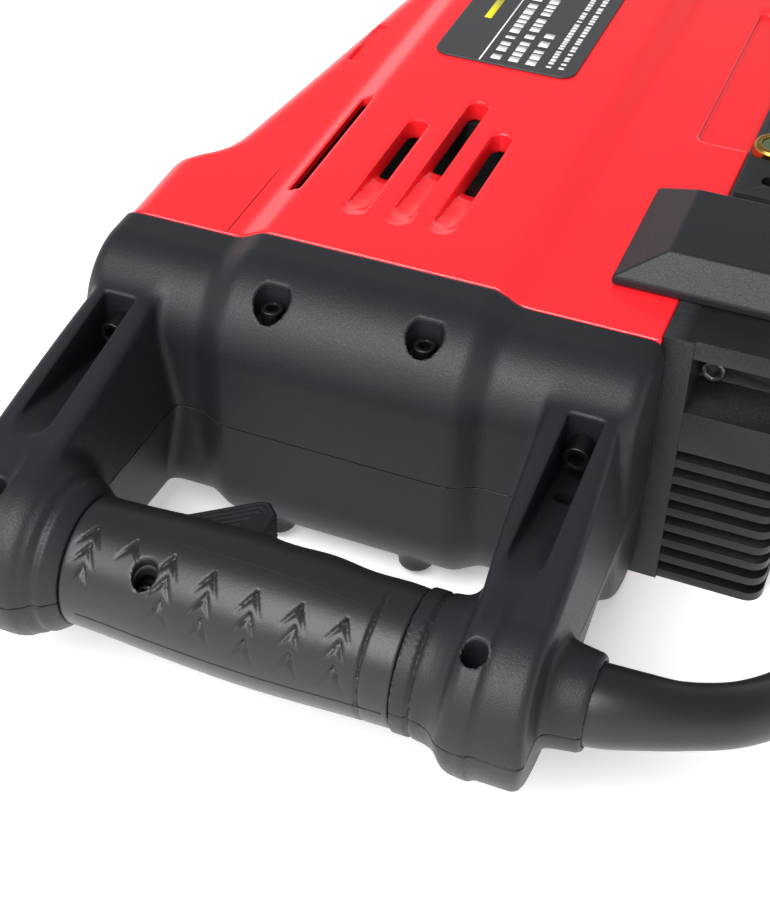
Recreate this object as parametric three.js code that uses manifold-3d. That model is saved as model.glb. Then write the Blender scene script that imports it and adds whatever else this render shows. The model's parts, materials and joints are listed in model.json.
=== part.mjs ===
// Electric demolition hammer with a closed D-handle, lying on its left side.
// Millimetres. X runs forward towards the chisel, Y towards the machine's top, Z towards its right side.
import * as THREE from 'three';
import { mergeVertices } from 'three/addons/utils/BufferGeometryUtils.js';
import Module from 'manifold-3d';

const wasm = await Module();
wasm.setup();
const { Manifold, Mesh: ManifoldMesh } = wasm;

// ---------------------------------------------------------------- driving dimensions

const gap = 0.3; // clearance between pieces that touch
const slip = 0.35; // running clearance of a moving piece

const panelHalf = 54; // half thickness at the raised centre panel
const floorZ = -panelHalf; // the machine rests on its other side's panel
const panelRise = 4.5; // height of the centre panel above the side zones
const panelLow = -33.5; // centre panel, edge towards the machine's bottom
const panelHigh = 49.2; // centre panel, edge towards the machine's top
const bevelWidth = 8.7; // width of the slope beside the centre panel

const motorY = (panelLow + panelHigh) / 2; // motor shaft, in the middle of the raised panel
const housingLow = -88; // lower edge of the red housing
const housingHigh = 102.5; // upper edge of the red housing at its rear
const housingLength = 262;
const housingWall = 4;
const flareEnd = 36; // where the flared rear of the housing starts to narrow
const waistX = 55; // where the narrowing ends
const waistHigh = 89;
const taperEnd = 190; // where the slow taper of the upper edge ends
const noseHigh = 73; // upper edge of the red housing from there on

const coverLow = -90; // rear cover, side towards the machine's bottom
const coverHigh = 102;
const coverDepth = 35; // how far the cover reaches behind the housing
const coverRound = 25; // radius between the cover's face and its rear
const coverWall = 3.5;

const gripX = -113; // axis of the hand grip
const gripRadius = 22;
const gripSwell = 1.5; // extra radius in the palm of the grip
const coreRadius = 18.5;
const boreRadius = 15.3; // hollow of the grip for the switch
const gripLow = -49.5; // the soft sleeve, ends along Y
const gripHigh = 57.5;
const armEndRadius = 28; // rounded end of each arm, about the grip axis
const armRootHalf = 42; // half height of an arm where it leaves the cover
const armRootX = -24;

const barrelRadius = 46;
const barrelFront = housingLength + 138;
const statorRadius = 47.5;
const hammerBore = 25; // radius of the piston's cylinder
const sleeveWall = 4;
const sleeveOuter = hammerBore + sleeveWall;
const sleeveRear = 122;
const sleeveFront = barrelFront - 8;
const hammerY = motorY - statorRadius - 3.35 - sleeveOuter; // axis of the piston, ram and tool holder
const strokeRadius = 18; // crank throw
const crankX = 62;
const rodLength = 78;

const caseLow = hammerY - 63; // fins' outer face
const caseHalf = panelHalf - 4; // half thickness of the crank case
const caseRear = 3;
const finDepth = 9;
const finPitch = 7.3;
const finThickness = 3.3;
const finCount = 9;
const finTop = 8;

const holderRadius = sleeveOuter + 2;
const holderFront = barrelFront + 120;
const hexAcross = 28.6; // across the flats of the chisel socket
const socketDepth = 96;

const clampX = housingLength + 90; // middle of the side handle's clamp
const clampWidth = 28;
const clampRadius = 54;
const sideGripLength = 118;
const sideGripRadius = 17;

const guardRadius = 12.6; // cord guard at the handle
const guardMiddle = 9.1; // along most of its length
const guardTip = 6.4;
const cordRadius = 4.75;
const coilCentre = [75, -229.3];
const coilRadius = 54; // middle of the coil's turns
const coilHalf = 10; // half width of the bundle
const coilHeight = 29;

const plugLength = 44;
const plugWidth = 30;
const plugHeight = 24;

// ---------------------------------------------------------------- materials

function material(colour, roughness, metalness) {
  return new THREE.MeshStandardMaterial({ color: colour, roughness, metalness });
}

const redPaint = material(0xd8121c, 0.22, 0.0);
const blackPlastic = material(0x26272a, 0.5, 0.0);
const blackCasting = material(0x1f2022, 0.45, 0.2);
const softRubber = material(0x2a2b2d, 0.6, 0.0);
const cordRubber = material(0x1b1b1d, 0.55, 0.0);
const blackSteel = material(0x2b2b2d, 0.35, 0.9);
const brightSteel = material(0xb4b6b8, 0.3, 1.0);
const brass = material(0xb08d3a, 0.3, 1.0);
const labelFilm = material(0x3a3a3c, 0.35, 0.0);
const copper = material(0xa5602f, 0.4, 0.9);
const greySteel = material(0x6d7073, 0.4, 0.9);

// ---------------------------------------------------------------- solids

function solid(geometry) {
  const bare = geometry.clone();
  bare.deleteAttribute('normal');
  bare.deleteAttribute('uv');
  const merged = mergeVertices(bare, 1e-4);
  const mesh = new ManifoldMesh({
    numProp: 3,
    vertProperties: new Float32Array(merged.attributes.position.array),
    triVerts: new Uint32Array(merged.index.array),
  });
  mesh.merge();
  return new Manifold(mesh);
}

function shell(manifold) {
  const mesh = manifold.getMesh();
  const geometry = new THREE.BufferGeometry();
  geometry.setAttribute('position', new THREE.BufferAttribute(new Float32Array(mesh.vertProperties), 3));
  geometry.setIndex(new THREE.BufferAttribute(new Uint32Array(mesh.triVerts), 1));
  geometry.computeVertexNormals();
  return geometry;
}

function join(...solids) {
  return solids.reduce((all, next) => all.add(next));
}

function cut(body, ...tools) {
  return tools.reduce((left, tool) => left.subtract(tool), body);
}

// A box between two corners.
function block(x0, x1, y0, y1, z0, z1) {
  const box = new THREE.BoxGeometry(x1 - x0, y1 - y0, z1 - z0);
  box.translate((x0 + x1) / 2, (y0 + y1) / 2, (z0 + z1) / 2);
  return solid(box);
}

// Turns a shape made along Y so that its length runs along the named axis, from that axis's low end.
function aim(geometry, axis) {
  if (axis === 'x') geometry.rotateZ(-Math.PI / 2);
  if (axis === 'z') geometry.rotateX(Math.PI / 2);
  return geometry;
}

// A round bar along an axis: its two ends along that axis, and the other two coordinates in order.
function rod(axis, radius, from, to, u, v, sides = 24) {
  const bar = aim(new THREE.CylinderGeometry(radius, radius, to - from, sides), axis);
  const middle = (from + to) / 2;
  if (axis === 'x') bar.translate(middle, u, v);
  if (axis === 'y') bar.translate(u, middle, v);
  if (axis === 'z') bar.translate(u, v, middle);
  return solid(bar);
}

// A turned piece: [radius, distance along the axis] pairs that start and end on the axis.
function turned(axis, profile, u, v, sides = 24) {
  const points = profile.map(([r, along]) => new THREE.Vector2(r, along));
  const lathe = new THREE.LatheGeometry(points, sides);
  if (axis === 'x') lathe.rotateZ(-Math.PI / 2).translate(0, u, v);
  if (axis === 'y') lathe.translate(u, 0, v);
  if (axis === 'z') lathe.rotateX(Math.PI / 2).translate(u, v, 0);
  const body = solid(lathe);
  return body.volume() < 0 ? solid(flipped(lathe)) : body;
}

function flipped(geometry) {
  const copy = geometry.clone();
  const index = copy.index.array;
  for (let i = 0; i < index.length; i += 3) [index[i], index[i + 1]] = [index[i + 1], index[i]];
  return copy;
}

// A ring around an axis, with a rectangular section.
function ring(axis, inner, outer, from, to, u, v, sides = 24) {
  return cut(rod(axis, outer, from, to, u, v, sides), rod(axis, inner, from - 1, to + 1, u, v, sides));
}

// Skins a row of rings that have the same number of points, and closes both ends.
function loft(rings) {
  const count = rings[0].length;
  const points = rings.flat();
  const faces = [];
  for (let i = 0; i + 1 < rings.length; i += 1) {
    for (let j = 0; j < count; j += 1) {
      const a = i * count + j;
      const b = i * count + ((j + 1) % count);
      faces.push(a, b, b + count, a, b + count, a + count);
    }
  }
  for (const [start, turn] of [[0, 1], [(rings.length - 1) * count, -1]]) {
    const centre = points.length;
    const sum = [0, 1, 2].map((k) => rings[start ? rings.length - 1 : 0].reduce((s, p) => s + p[k], 0));
    points.push(sum.map((s) => s / count));
    for (let j = 0; j < count; j += 1) {
      const a = start + j;
      const b = start + ((j + 1) % count);
      faces.push(centre, ...(turn > 0 ? [b, a] : [a, b]));
    }
  }
  const geometry = new THREE.BufferGeometry();
  geometry.setAttribute('position', new THREE.Float32BufferAttribute(points.flat(), 3));
  geometry.setIndex(faces);
  return signedVolume(points, faces) < 0 ? solid(flipped(geometry)) : solid(geometry);
}

function signedVolume(points, faces) {
  let total = 0;
  for (let i = 0; i < faces.length; i += 3) {
    const [a, b, c] = [0, 1, 2].map((k) => new THREE.Vector3(...points[faces[i + k]]));
    total += a.dot(b.cross(c));
  }
  return total;
}

// A flat outline in X and Y, raised between two heights, with its corners rounded.
function slab(x0, x1, y0, y1, corner, z0, z1) {
  const shape = new THREE.Shape();
  shape.moveTo(x0 + corner, y0);
  shape.lineTo(x1 - corner, y0);
  shape.absarc(x1 - corner, y0 + corner, corner, -Math.PI / 2, 0);
  shape.lineTo(x1, y1 - corner);
  shape.absarc(x1 - corner, y1 - corner, corner, 0, Math.PI / 2);
  shape.lineTo(x0 + corner, y1);
  shape.absarc(x0 + corner, y1 - corner, corner, Math.PI / 2, Math.PI);
  shape.lineTo(x0, y0 + corner);
  shape.absarc(x0 + corner, y0 + corner, corner, Math.PI, Math.PI * 1.5);
  const plate = new THREE.ExtrudeGeometry(shape, { depth: z1 - z0, bevelEnabled: false, curveSegments: 4 });
  plate.translate(0, 0, z0);
  return solid(plate);
}

// A polygon in X and Z, drawn out along Y.
function wedge(outline, y0, y1) {
  const low = outline.map(([x, z]) => [x, y0, z]);
  const high = outline.map(([x, z]) => [x, y1, z]);
  return loft([low, high]);
}

// An outline in X and Y, raised between two heights.
function prism(outline, z0, z1) {
  const shape = new THREE.Shape(outline.map(([x, y]) => new THREE.Vector2(x, y)));
  const body = new THREE.ExtrudeGeometry(shape, { depth: z1 - z0, bevelEnabled: false });
  body.translate(0, 0, z0);
  return solid(body);
}

// A closed tube along a smooth curve; each taper is a share of the length and the radius there.
function taperedTube(points, tapers, steps, sides) {
  const curve = new THREE.CatmullRomCurve3(points.map((p) => new THREE.Vector3(...p)));
  const frames = curve.computeFrenetFrames(steps, false);
  const rings = [];
  for (let i = 0; i <= steps; i += 1) {
    const centre = curve.getPointAt(i / steps);
    const radius = radiusAt(tapers, i / steps);
    const row = [];
    for (let j = 0; j < sides; j += 1) {
      const angle = (j / sides) * Math.PI * 2;
      const offset = frames.normals[i].clone().multiplyScalar(Math.cos(angle) * radius);
      offset.addScaledVector(frames.binormals[i], Math.sin(angle) * radius);
      row.push(centre.clone().add(offset).toArray());
    }
    rings.push(row);
  }
  return loft(rings);
}

function radiusAt(tapers, share) {
  const next = Math.max(1, tapers.findIndex(([at]) => at >= share));
  const [[start, from], [end, to]] = [tapers[next - 1], tapers[next]];
  return THREE.MathUtils.mapLinear(share, start, end, from, to);
}

// ---------------------------------------------------------------- the scene graph

const hammer = new THREE.Group();

function add(name, body, finish, group = hammer) {
  const mesh = new THREE.Mesh(shell(body), finish);
  mesh.name = name;
  group.add(mesh);
  return mesh;
}

// ---------------------------------------------------------------- rear cover, arms and grip core

const panelZones = [
  [panelLow - bevelWidth, 0],
  [panelLow, panelRise],
  [panelHigh, panelRise],
  [panelHigh + bevelWidth, 0],
];
const sideHalf = panelHalf - panelRise;

// The cover's outline in X and Z at one place along Y: front edge, face, round and rear.
function coverRing(y, rise, inset, front) {
  const half = sideHalf + rise - inset;
  const rear = -coverDepth - rise + inset;
  const round = coverRound + rise - inset;
  const upper = [[front, y, half]];
  for (let i = 0; i <= 6; i += 1) {
    const angle = (i / 6) * (Math.PI / 2);
    upper.push([rear + round - round * Math.sin(angle), y, half - round + round * Math.cos(angle)]);
  }
  const lower = upper.map(([x, , z]) => [x, y, -z]).reverse();
  return [...upper, ...lower];
}

function coverSolid(inset, front) {
  const edge = 2.5;
  const zones = panelZones.map(([y, rise]) => coverRing(y, rise, inset, front));
  const low = coverLow + inset;
  const high = coverHigh - inset;
  return loft([
    coverRing(low, 0, inset + edge, front),
    coverRing(low + edge, 0, inset, front),
    ...zones,
    coverRing(high - edge, 0, inset, front),
    coverRing(high, 0, inset + edge, front),
  ]);
}

// Each arm: its middle and half width along Y where it leaves the cover, and the same at the grip.
const arms = {
  low: { rootY: -73, rootHalf: 19, endY: -79, endHalf: 13.5, boltY: -75, holeY: -72, holeX: -126 },
  high: { rootY: 85.5, rootHalf: 18, endY: 85, endHalf: 15, boltY: 86, holeY: 84, holeX: -120 },
};
const slotFarX = -34;
const slotNearX = -100;
const slotWidth = 11.4;
const slotFloorFar = 18;
const armSlope = (armRootHalf - armEndRadius) / (armRootX - gripX);

function armHeight(x) {
  return armEndRadius + (x - gripX) * armSlope;
}

function armRing(x, arm, half) {
  const share = THREE.MathUtils.clamp((x - gripX) / (armRootX - gripX), 0, 1);
  const centre = THREE.MathUtils.lerp(arm.endY, arm.rootY, share);
  const middle = THREE.MathUtils.lerp(arm.endHalf, arm.rootHalf, share);
  const face = THREE.MathUtils.lerp(middle - 3, 10.2, share);
  const chamfer = Math.min(3, half / 3);
  const outline = [
    [middle, 0], [face + 1, half - chamfer], [face - chamfer + 1, half],
    [-face + chamfer - 1, half], [-face - 1, half - chamfer], [-middle, 0],
    [-face - 1, chamfer - half], [-face + chamfer - 1, -half],
    [face - chamfer + 1, -half], [face + 1, chamfer - half],
  ];
  return outline.map(([y, z]) => [x, centre + y, z]);
}

function armSolid(arm) {
  const rings = [armRing(-8, arm, armHeight(-8)), armRing(armRootX, arm, armHeight(armRootX))];
  rings.push(armRing(-70, arm, armHeight(-70)), armRing(gripX, arm, armEndRadius));
  for (const degrees of [20, 40, 58, 74]) {
    const angle = THREE.MathUtils.degToRad(degrees);
    rings.push(armRing(gripX - armEndRadius * Math.sin(angle), arm, armEndRadius * Math.cos(angle)));
  }
  return loft(rings);
}

// The long recess on an arm's face, deep at the cover and running out towards the grip.
function armSlot(arm, side) {
  const nearFloor = armHeight(slotNearX) - 1;
  const top = armRootHalf + 20;
  const outline = [[slotFarX, top], [slotFarX, slotFloorFar], [slotNearX, nearFloor], [slotNearX, top]];
  const placed = outline.map(([x, z]) => [x, z * side]);
  return wedge(placed, arm.boltY - slotWidth / 2, arm.boltY + slotWidth / 2);
}

const armBoltRadius = 4.5;
const armBoltHead = 8;
const armBoltZ = slotFloorFar + 6.5 + armBoltRadius;
const armShank = 2.5;
const screwHoles = [
  { name: 'shell_screw_grip', x: -126.5, y: 30.5, floor: 6 },
  { name: 'shell_screw_low', x: arms.low.holeX, y: arms.low.holeY, floor: 8 },
  { name: 'shell_screw_high', x: arms.high.holeX, y: arms.high.holeY, floor: 8 },
];
const shellHole = 3.8;
const floorHoleX = -51;

// Posts for the cover screws. On the right each ends in a D-shaped recess, a bore with its forward side
// cut flat, and on the left in a round socket that stands out of the cover's rounded edge.
const coverScrews = [[-27, 34], [-26, -18.5]];
const dRadius = 6;
const dFlat = 4.8;
const dFloor = 39.5;
const postRadius = 8.6;
const socketOuter = 6.2;
const socketInner = 4.3;
const socketEnd = panelHalf - 3.5;

function coverRecesses([x, y]) {
  const far = panelHalf + 5;
  const bore = rod('z', dRadius, dFloor, far, x, y);
  const shelf = block(x + dFlat, x + 20, y - 20, y + 20, dFloor - 1, far + 1);
  const round = rod('z', socketInner, -far, -dFloor, x, y);
  const shank = rod('z', 2.3, -far, far, x, y, 12);
  return [cut(bore, shelf), round, shank];
}

const collarRoot = -91;
const collarEnd = -104;
const guardSeat = coverLow + 5;
const cordExit = [-109, collarEnd, 0];

function cordCollar() {
  const root = arms.low.endY;
  const cone = [[0, root], [17.5, root], [17.5, collarRoot], [14.6, collarEnd], [0, collarEnd]];
  return turned('y', cone, cordExit[0], cordExit[2]);
}

function gripCollars() {
  const low = [[0, -74], [27, -74], [24.5, -66], [22, -60], [22, gripLow - 1], [0, gripLow - 1]];
  const high = [[0, gripHigh + gap], [20.8, gripHigh + gap], [24.5, 62], [27, 70], [27, 78], [0, 78]];
  return join(
    turned('y', low, gripX, 0, 32),
    turned('y', high, gripX, 0, 32),
    rod('y', coreRadius, gripLow - 2, gripHigh + 2, gripX, 0, 32),
  );
}

const triggerPivot = [-98, 39];
const triggerHalf = 8.6;
const triggerSlot = { x0: -104, x1: -70, y0: 4, y1: 44.5, half: triggerHalf + 0.7 };
const lockY = 50;
const lockRadius = 4;

function switchBay() {
  return join(
    rod('y', boreRadius, -42, 54, gripX, 0),
    block(gripX + 2, triggerSlot.x1, triggerSlot.y0, triggerSlot.y1, -triggerSlot.half, triggerSlot.half),
  );
}

function rearShellBody() {
  const outside = join(
    coverSolid(0, -gap),
    armSolid(arms.low),
    armSolid(arms.high),
    gripCollars(),
    cordCollar(),
    ...coverScrews.map(([x, y]) => rod('z', socketOuter, -socketEnd, -dFloor, x, y)),
  );
  const posts = coverScrews.map(([x, y]) => rod('z', postRadius, -panelHalf, panelHalf, x, y));
  const cuts = [cut(coverSolid(coverWall, 1), ...posts), switchBay()];
  for (const { boltY } of [arms.low, arms.high]) {
    cuts.push(block(gripX, -coverDepth + 8, boltY - 5, boltY + 5, -9, 9));
  }
  cuts.push(block(gripX - 6, gripX + 6, arms.low.boltY, arms.high.boltY, -6, 6));
  cuts.push(rod('y', guardRadius + gap, collarEnd - 1, guardSeat, cordExit[0], cordExit[2]));
  for (const side of [1, -1]) {
    for (const arm of [arms.low, arms.high]) {
      cuts.push(armSlot(arm, side));
      cuts.push(rod('x', armShank + gap, slotFarX - 1, 1, arm.boltY, armBoltZ * side, 12));
      cuts.push(rod('z', 3, side > 0 ? 12 : -40, side > 0 ? 40 : -12, floorHoleX, arm.boltY, 16));
    }
  }
  for (const place of coverScrews) cuts.push(...coverRecesses(place));
  for (const hole of screwHoles) {
    cuts.push(rod('z', shellHole, hole.floor, 40, hole.x, hole.y, 16));
    cuts.push(rod('z', 1.8, -40, 40, hole.x, hole.y, 12));
  }
  cuts.push(rod('z', lockRadius + slip, -30, 0, gripX, lockY, 20));
  return cut(outside, ...cuts);
}

function largestPiece(body) {
  const pieces = body.decompose();
  return pieces.reduce((best, piece) => (piece.volume() > best.volume() ? piece : best));
}

const rearShell = rearShellBody();
add('rear_shell_right', largestPiece(rearShell.trimByPlane([0, 0, 1], gap / 2)), blackPlastic);
add('rear_shell_left', largestPiece(rearShell.trimByPlane([0, 0, -1], gap / 2)), blackPlastic);

// ---------------------------------------------------------------- grip, trigger and switch

function gripSleeve() {
  const palm = (gripLow + gripHigh) / 2 - 6;
  const profile = [[coreRadius + gap, gripLow], [gripRadius, gripLow]];
  for (let i = 1; i <= 7; i += 1) {
    const y = THREE.MathUtils.lerp(gripLow, gripHigh, i / 8);
    const swell = gripSwell * Math.cos(((y - palm) / (gripHigh - gripLow)) * Math.PI) ** 2;
    profile.push([gripRadius - 0.6 + swell - Math.max(0, y - 30) * 0.03, y]);
  }
  profile.push([gripRadius - 1.6, gripHigh], [coreRadius + gap, gripHigh], [coreRadius + gap, gripLow]);
  const sleeve = turned('y', profile, gripX, 0, 32);
  const window = triggerSlot;
  const opening = block(gripX + 2, window.x1, window.y0, window.y1, -window.half, window.half);
  const grip = screwHoles[0];
  const hole = rod('z', shellHole, 0, 40, grip.x, grip.y, 16);
  const lock = rod('z', lockRadius + slip, -40, 0, gripX, lockY, 20);
  return cut(sleeve, opening, hole, lock);
}

add('grip_sleeve', gripSleeve(), softRubber);

function triggerBody() {
  const outline = [[-101, 43], [-94, 43], [-91.2, 36], [-76.5, 17], [-75.5, 13.5], [-80, 9], [-101, 9]];
  return cut(prism(outline, -triggerHalf, triggerHalf), rod('z', 1.6, -10, 10, ...triggerPivot, 12));
}

add('trigger', triggerBody(), blackPlastic);

const lockSeat = -coreRadius + 9;
const lockTravel = 3;
const lockHead = [[0, 0], [lockRadius, 0], [lockRadius, 13.5], [lockRadius - 1, 14.5], [0, 14.5]];
const lockSolid = turned('y', lockHead, 0, 0, 20);
add('lock_button', lockSolid.rotate([-90, 0, 0]).translate([gripX, lockY, lockSeat]), redPaint);

function switchBody() {
  return block(-122, -108, 4, 42, -8.4, 8.4);
}

add('switch_body', switchBody(), blackPlastic);

// ---------------------------------------------------------------- screws of the handle

// A socket cap screw that stands on its shank along Y, with the underside of its head at 0.
function capScrew(headRadius, headLength, shankRadius, shankLength, sides = 12) {
  const profile = [
    [0, -shankLength], [shankRadius, -shankLength], [shankRadius, 0], [headRadius, 0],
    [headRadius, headLength - 0.6], [headRadius - 0.6, headLength], [headRadius * 0.55, headLength],
    [headRadius * 0.55, headLength * 0.45], [0, headLength * 0.45],
  ];
  return turned('y', profile, 0, 0, sides);
}

function placeScrew(name, screw, direction, position, finish = blackSteel) {
  const mesh = add(name, screw, finish);
  mesh.quaternion.setFromUnitVectors(new THREE.Vector3(0, 1, 0), new THREE.Vector3(...direction));
  mesh.position.set(...position);
}

let armBoltNumber = 0;
for (const arm of [arms.low, arms.high]) {
  for (const side of [1, -1]) {
    armBoltNumber += 1;
    const bolt = capScrew(armBoltRadius, armBoltHead, armShank, 30);
    placeScrew(`arm_bolt_${armBoltNumber}`, bolt, [-1, 0, 0], [slotFarX - gap, arm.boltY, armBoltZ * side]);
  }
}

let coverScrewNumber = 0;
for (const [x, y] of coverScrews) {
  for (const side of [1, -1]) {
    coverScrewNumber += 1;
    const screw = capScrew(3.7, 5.4, 2, 30);
    placeScrew(`cover_screw_${coverScrewNumber}`, screw, [0, 0, side], [x, y, (dFloor + gap) * side]);
  }
}

for (const { name, x, y, floor } of screwHoles) {
  placeScrew(name, capScrew(3.3, 3, 1.5, 15), [0, 0, 1], [x, y, floor + gap]);
}

// ---------------------------------------------------------------- cord guard, cord and plug

const guardRoute = [
  [cordExit[0], collarEnd + 10, cordExit[2]], [cordExit[0], collarEnd, cordExit[2]],
  [-106.3, -116, -0.6], [-101.3, -128.6, -2.6], [-91.6, -142.6, -6], [-76, -154, -11.2], [-57, -161, -17.5],
  [-36, -165, -26],
];
const guardTapers = [
  [0, guardRadius], [0.1, guardRadius], [0.3, guardMiddle + 0.8], [0.75, guardMiddle], [1, guardTip],
];
add('cord_guard', taperedTube(guardRoute, guardTapers, 20, 16), cordRubber);

const cordRoute = [
  [-35, -165.1, -26.5], [-14, -167.8, -36.5], [6, -169.7, -44.6], [24, -170.4, -48.5], [38, -170.5, -49.2],
];

function cordTube() {
  const path = new THREE.CatmullRomCurve3(cordRoute.map((p) => new THREE.Vector3(...p)));
  const round = new THREE.Shape();
  round.absarc(0, 0, cordRadius, 0, Math.PI * 2);
  const options = { steps: 12, curveSegments: 5, bevelEnabled: false, extrudePath: path };
  return solid(new THREE.ExtrudeGeometry(round, options));
}

add('cord', cordTube(), cordRubber);

const coilInner = coilRadius - coilHalf;
const coilOuter = coilRadius + coilHalf;
const coil = ring('z', coilInner, coilOuter, floorZ + gap, floorZ + coilHeight, ...coilCentre, 32);
add('cord_coil', coil, cordRubber);

const plugAt = [coilCentre[0] + 97, coilCentre[1] + coilRadius + 4.8];
const plugZ = floorZ + gap + plugHeight / 2;

function plugBody() {
  const grip = slab(0, plugLength, -plugWidth / 2, plugWidth / 2, 5, -plugHeight / 2, plugHeight / 2);
  const neck = rod('x', 8, -14, 2, 0, 0, 16);
  return join(grip, neck);
}

const plug = new THREE.Group();
plug.position.set(plugAt[0], plugAt[1], plugZ);
hammer.add(plug);
add('plug_body', plugBody(), cordRubber, plug);
const bladeStart = plugLength + gap;
for (const [name, side] of [['plug_blade_low', -1], ['plug_blade_high', 1]]) {
  const centre = 6.35 * side;
  add(name, block(bladeStart, bladeStart + 16, centre - 0.75, centre + 0.75, -6.3, 0.2), brass, plug);
}
add('plug_pin', rod('x', 2.4, bladeStart, bladeStart + 20, 0, 7.2, 12), brass, plug);

// ---------------------------------------------------------------- red motor housing

// Upper edge of the housing at a distance from its rear: a flared rear, then a slow taper, then straight.
const housingStations = [
  [0, housingHigh], [flareEnd, housingHigh + 0.5], [flareEnd + 4, housingHigh - 1.5],
  [flareEnd + 10, waistHigh + 5.5], [waistX - 3, waistHigh + 1.4], [waistX + 3, waistHigh - 0.6],
  [taperEnd, noseHigh], [housingLength, noseHigh],
];

function housingRing(x, high, inset, low) {
  const zones = [
    [low, 0], ...panelZones, [high - 8 - inset, 0],
  ];
  const upper = zones.map(([y, rise]) => [x, y, sideHalf + rise - inset]);
  upper.push([x, high - 2.5 - inset, sideHalf - 3 - inset], [x, high - inset, sideHalf - 9 - inset]);
  return [...upper, ...upper.map(([, y, z]) => [x, y, -z]).reverse()];
}

function housingSolid(inset, low, reach) {
  const stations = housingStations.map(([x, high]) => [x, high]);
  stations[0][0] -= reach;
  stations.at(-1)[0] += reach;
  return loft(stations.map(([x, high]) => housingRing(x, high, inset, low)));
}

// Three scoops and a narrow slot that let the cooling air out, and the recess beside the barrel.
const vents = [
  { y: 27, x0: 22, x1: 88.4 }, { y: 10.8, x0: 22, x1: 109 }, { y: -4.6, x0: 22.8, x1: 91 },
];
const ventWidth = 7.6;
const ventOpen = 0.45; // share of a scoop's length that goes right through
const recessX = 122.5;
const recessY = -68.3;
const recessDepth = 2.2;

function ventCuts() {
  const cuts = [];
  for (const { y, x0, x1 } of vents) {
    const start = x1 - (x1 - x0) * ventOpen;
    const floor = panelHalf - housingWall - 2;
    const above = panelHalf + 1;
    const outline = [[x0, above], [x0, panelHalf - 0.3], [start, floor], [x1, floor], [x1, above]];
    cuts.push(wedge(outline, y - ventWidth / 2, y + ventWidth / 2));
  }
  cuts.push(block(29, 98, panelHigh - 0.2, panelHigh + 4.2, sideHalf - housingWall - 2, panelHalf + 1));
  cuts.push(block(recessX, housingLength - 30, housingLow - 5, recessY, sideHalf - recessDepth, panelHalf));
  cuts.push(block(127, 160, 67.5, 72, sideHalf - 1.6, sideHalf + 1));
  return cuts;
}

function motorHousing() {
  const hollow = housingSolid(housingWall, housingLow - 20, 5);
  return cut(housingSolid(0, housingLow, 0), hollow, ...ventCuts());
}

add('motor_housing', motorHousing(), redPaint);

const labelX = 137;
const labelLength = 92;
const labelLow = -15.5;
const labelHigh = 41;
const labelBase = panelHalf + 0.1;
const label = slab(labelX, labelX + labelLength, labelLow, labelHigh, 6, labelBase, labelBase + 0.8);
add('label_plate', label, labelFilm);

// ---------------------------------------------------------------- crank case, cap and gear train

const caseTop = housingLow - gap;
const caseWall = 5;
const caseGap = 1.8; // from the rear cover to the case's flange
const caseFront = housingLength - gap;
const earX = 86; // rear edge of the ear beside the oil sight

function crankCase() {
  const rib = caseLow + finDepth;
  const outside = join(
    slab(caseRear, caseFront, caseLow, caseTop, 6, floorZ, caseHalf),
    block(caseGap, caseFront, caseTop - 10, caseTop, floorZ, caseHalf),
    block(earX, 111, caseTop - 24, caseTop - 1.7, sideHalf - 4, sideHalf + 4.8),
  );
  const grooves = [];
  for (let i = 0; i < finCount - 1; i += 1) {
    const top = finTop - finThickness - i * finPitch;
    const bottom = top - (finPitch - finThickness);
    const around = block(-20, caseFront + 20, caseLow - 20, caseTop - 10, bottom, top);
    grooves.push(cut(around, block(caseRear + finDepth, caseFront - finDepth, rib, 0, bottom - 1, top + 1)));
  }
  const skin = finDepth + caseWall;
  const pocket = block(-20, 24, caseLow - 20, caseTop - 10, 21, 43);
  const pocketWall = block(0, 24 + caseWall, caseLow, caseTop - 10 + caseWall, 21 - caseWall, caseHalf);
  const hollow = cut(block(caseRear + skin, caseFront - skin, rib + caseWall, 0, 6 - caseHalf, caseHalf - 6), pocketWall);
  const sleeve = rod('x', sleeveOuter + gap, sleeveRear, caseFront + 1, hammerY, 0, 32);
  const screw = rod('x', 2.4, 10, 45, caseTop - 15, 28.5, 12);
  const earHole = rod('z', 3, 40, 70, 97, caseTop - 12, 16);
  const sight = rod('z', 6 + gap, caseHalf - 12, caseHalf + 5, 121, caseTop - 9, 20);
  return cut(outside, ...grooves, hollow, pocket, sleeve, screw, earHole, sight);
}

add('crank_case', crankCase(), blackCasting);
placeScrew('case_screw', capScrew(4, 6, 2, 14), [-1, 0, 0], [24 - gap, caseTop - 15, 28.5], greySteel);

const cap = { x0: 22, x1: 80, y0: caseLow + 4, y1: -65, rim: 3, top: panelHalf + 9 };

function crankCover() {
  const base = sideHalf + gap + 0.4;
  const rect = (insetX0, insetX1, insetY, z) => [
    [cap.x0 + insetX0, cap.y0 + insetY, z], [cap.x1 - insetX1, cap.y0 + insetY, z],
    [cap.x1 - insetX1, cap.y1 - insetY, z], [cap.x0 + insetX0, cap.y1 - insetY, z],
  ];
  return loft([rect(0, 0, 0, base), rect(0, 0, 0, base + cap.rim), rect(7.5, 11, 16, cap.top)]);
}

add('crank_cover', crankCover(), blackPlastic);

const sightProfile = [[0, -8], [6, -8], [6, 0], [8, 0], [8, 4.5], [7, 5.5], [5, 5.5], [5, 4.5], [0, 4.5]];
const sightBody = turned('y', sightProfile, 0, 0, 20);
placeScrew('oil_sight', sightBody, [0, 0, 1], [121, caseTop - 9, caseHalf + gap], brass);

const crownRadius = 42;
const pinionRadius = 6;
const crownFace = motorY - pinionRadius - 0.4;
const shaftRadius = 9;
const webTop = -48;
const webRadius = 27;
const rodPlane = hammerY;
const rodThickness = 10;
const pinEnd = rodPlane + rodThickness / 2 + 0.5;

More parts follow.
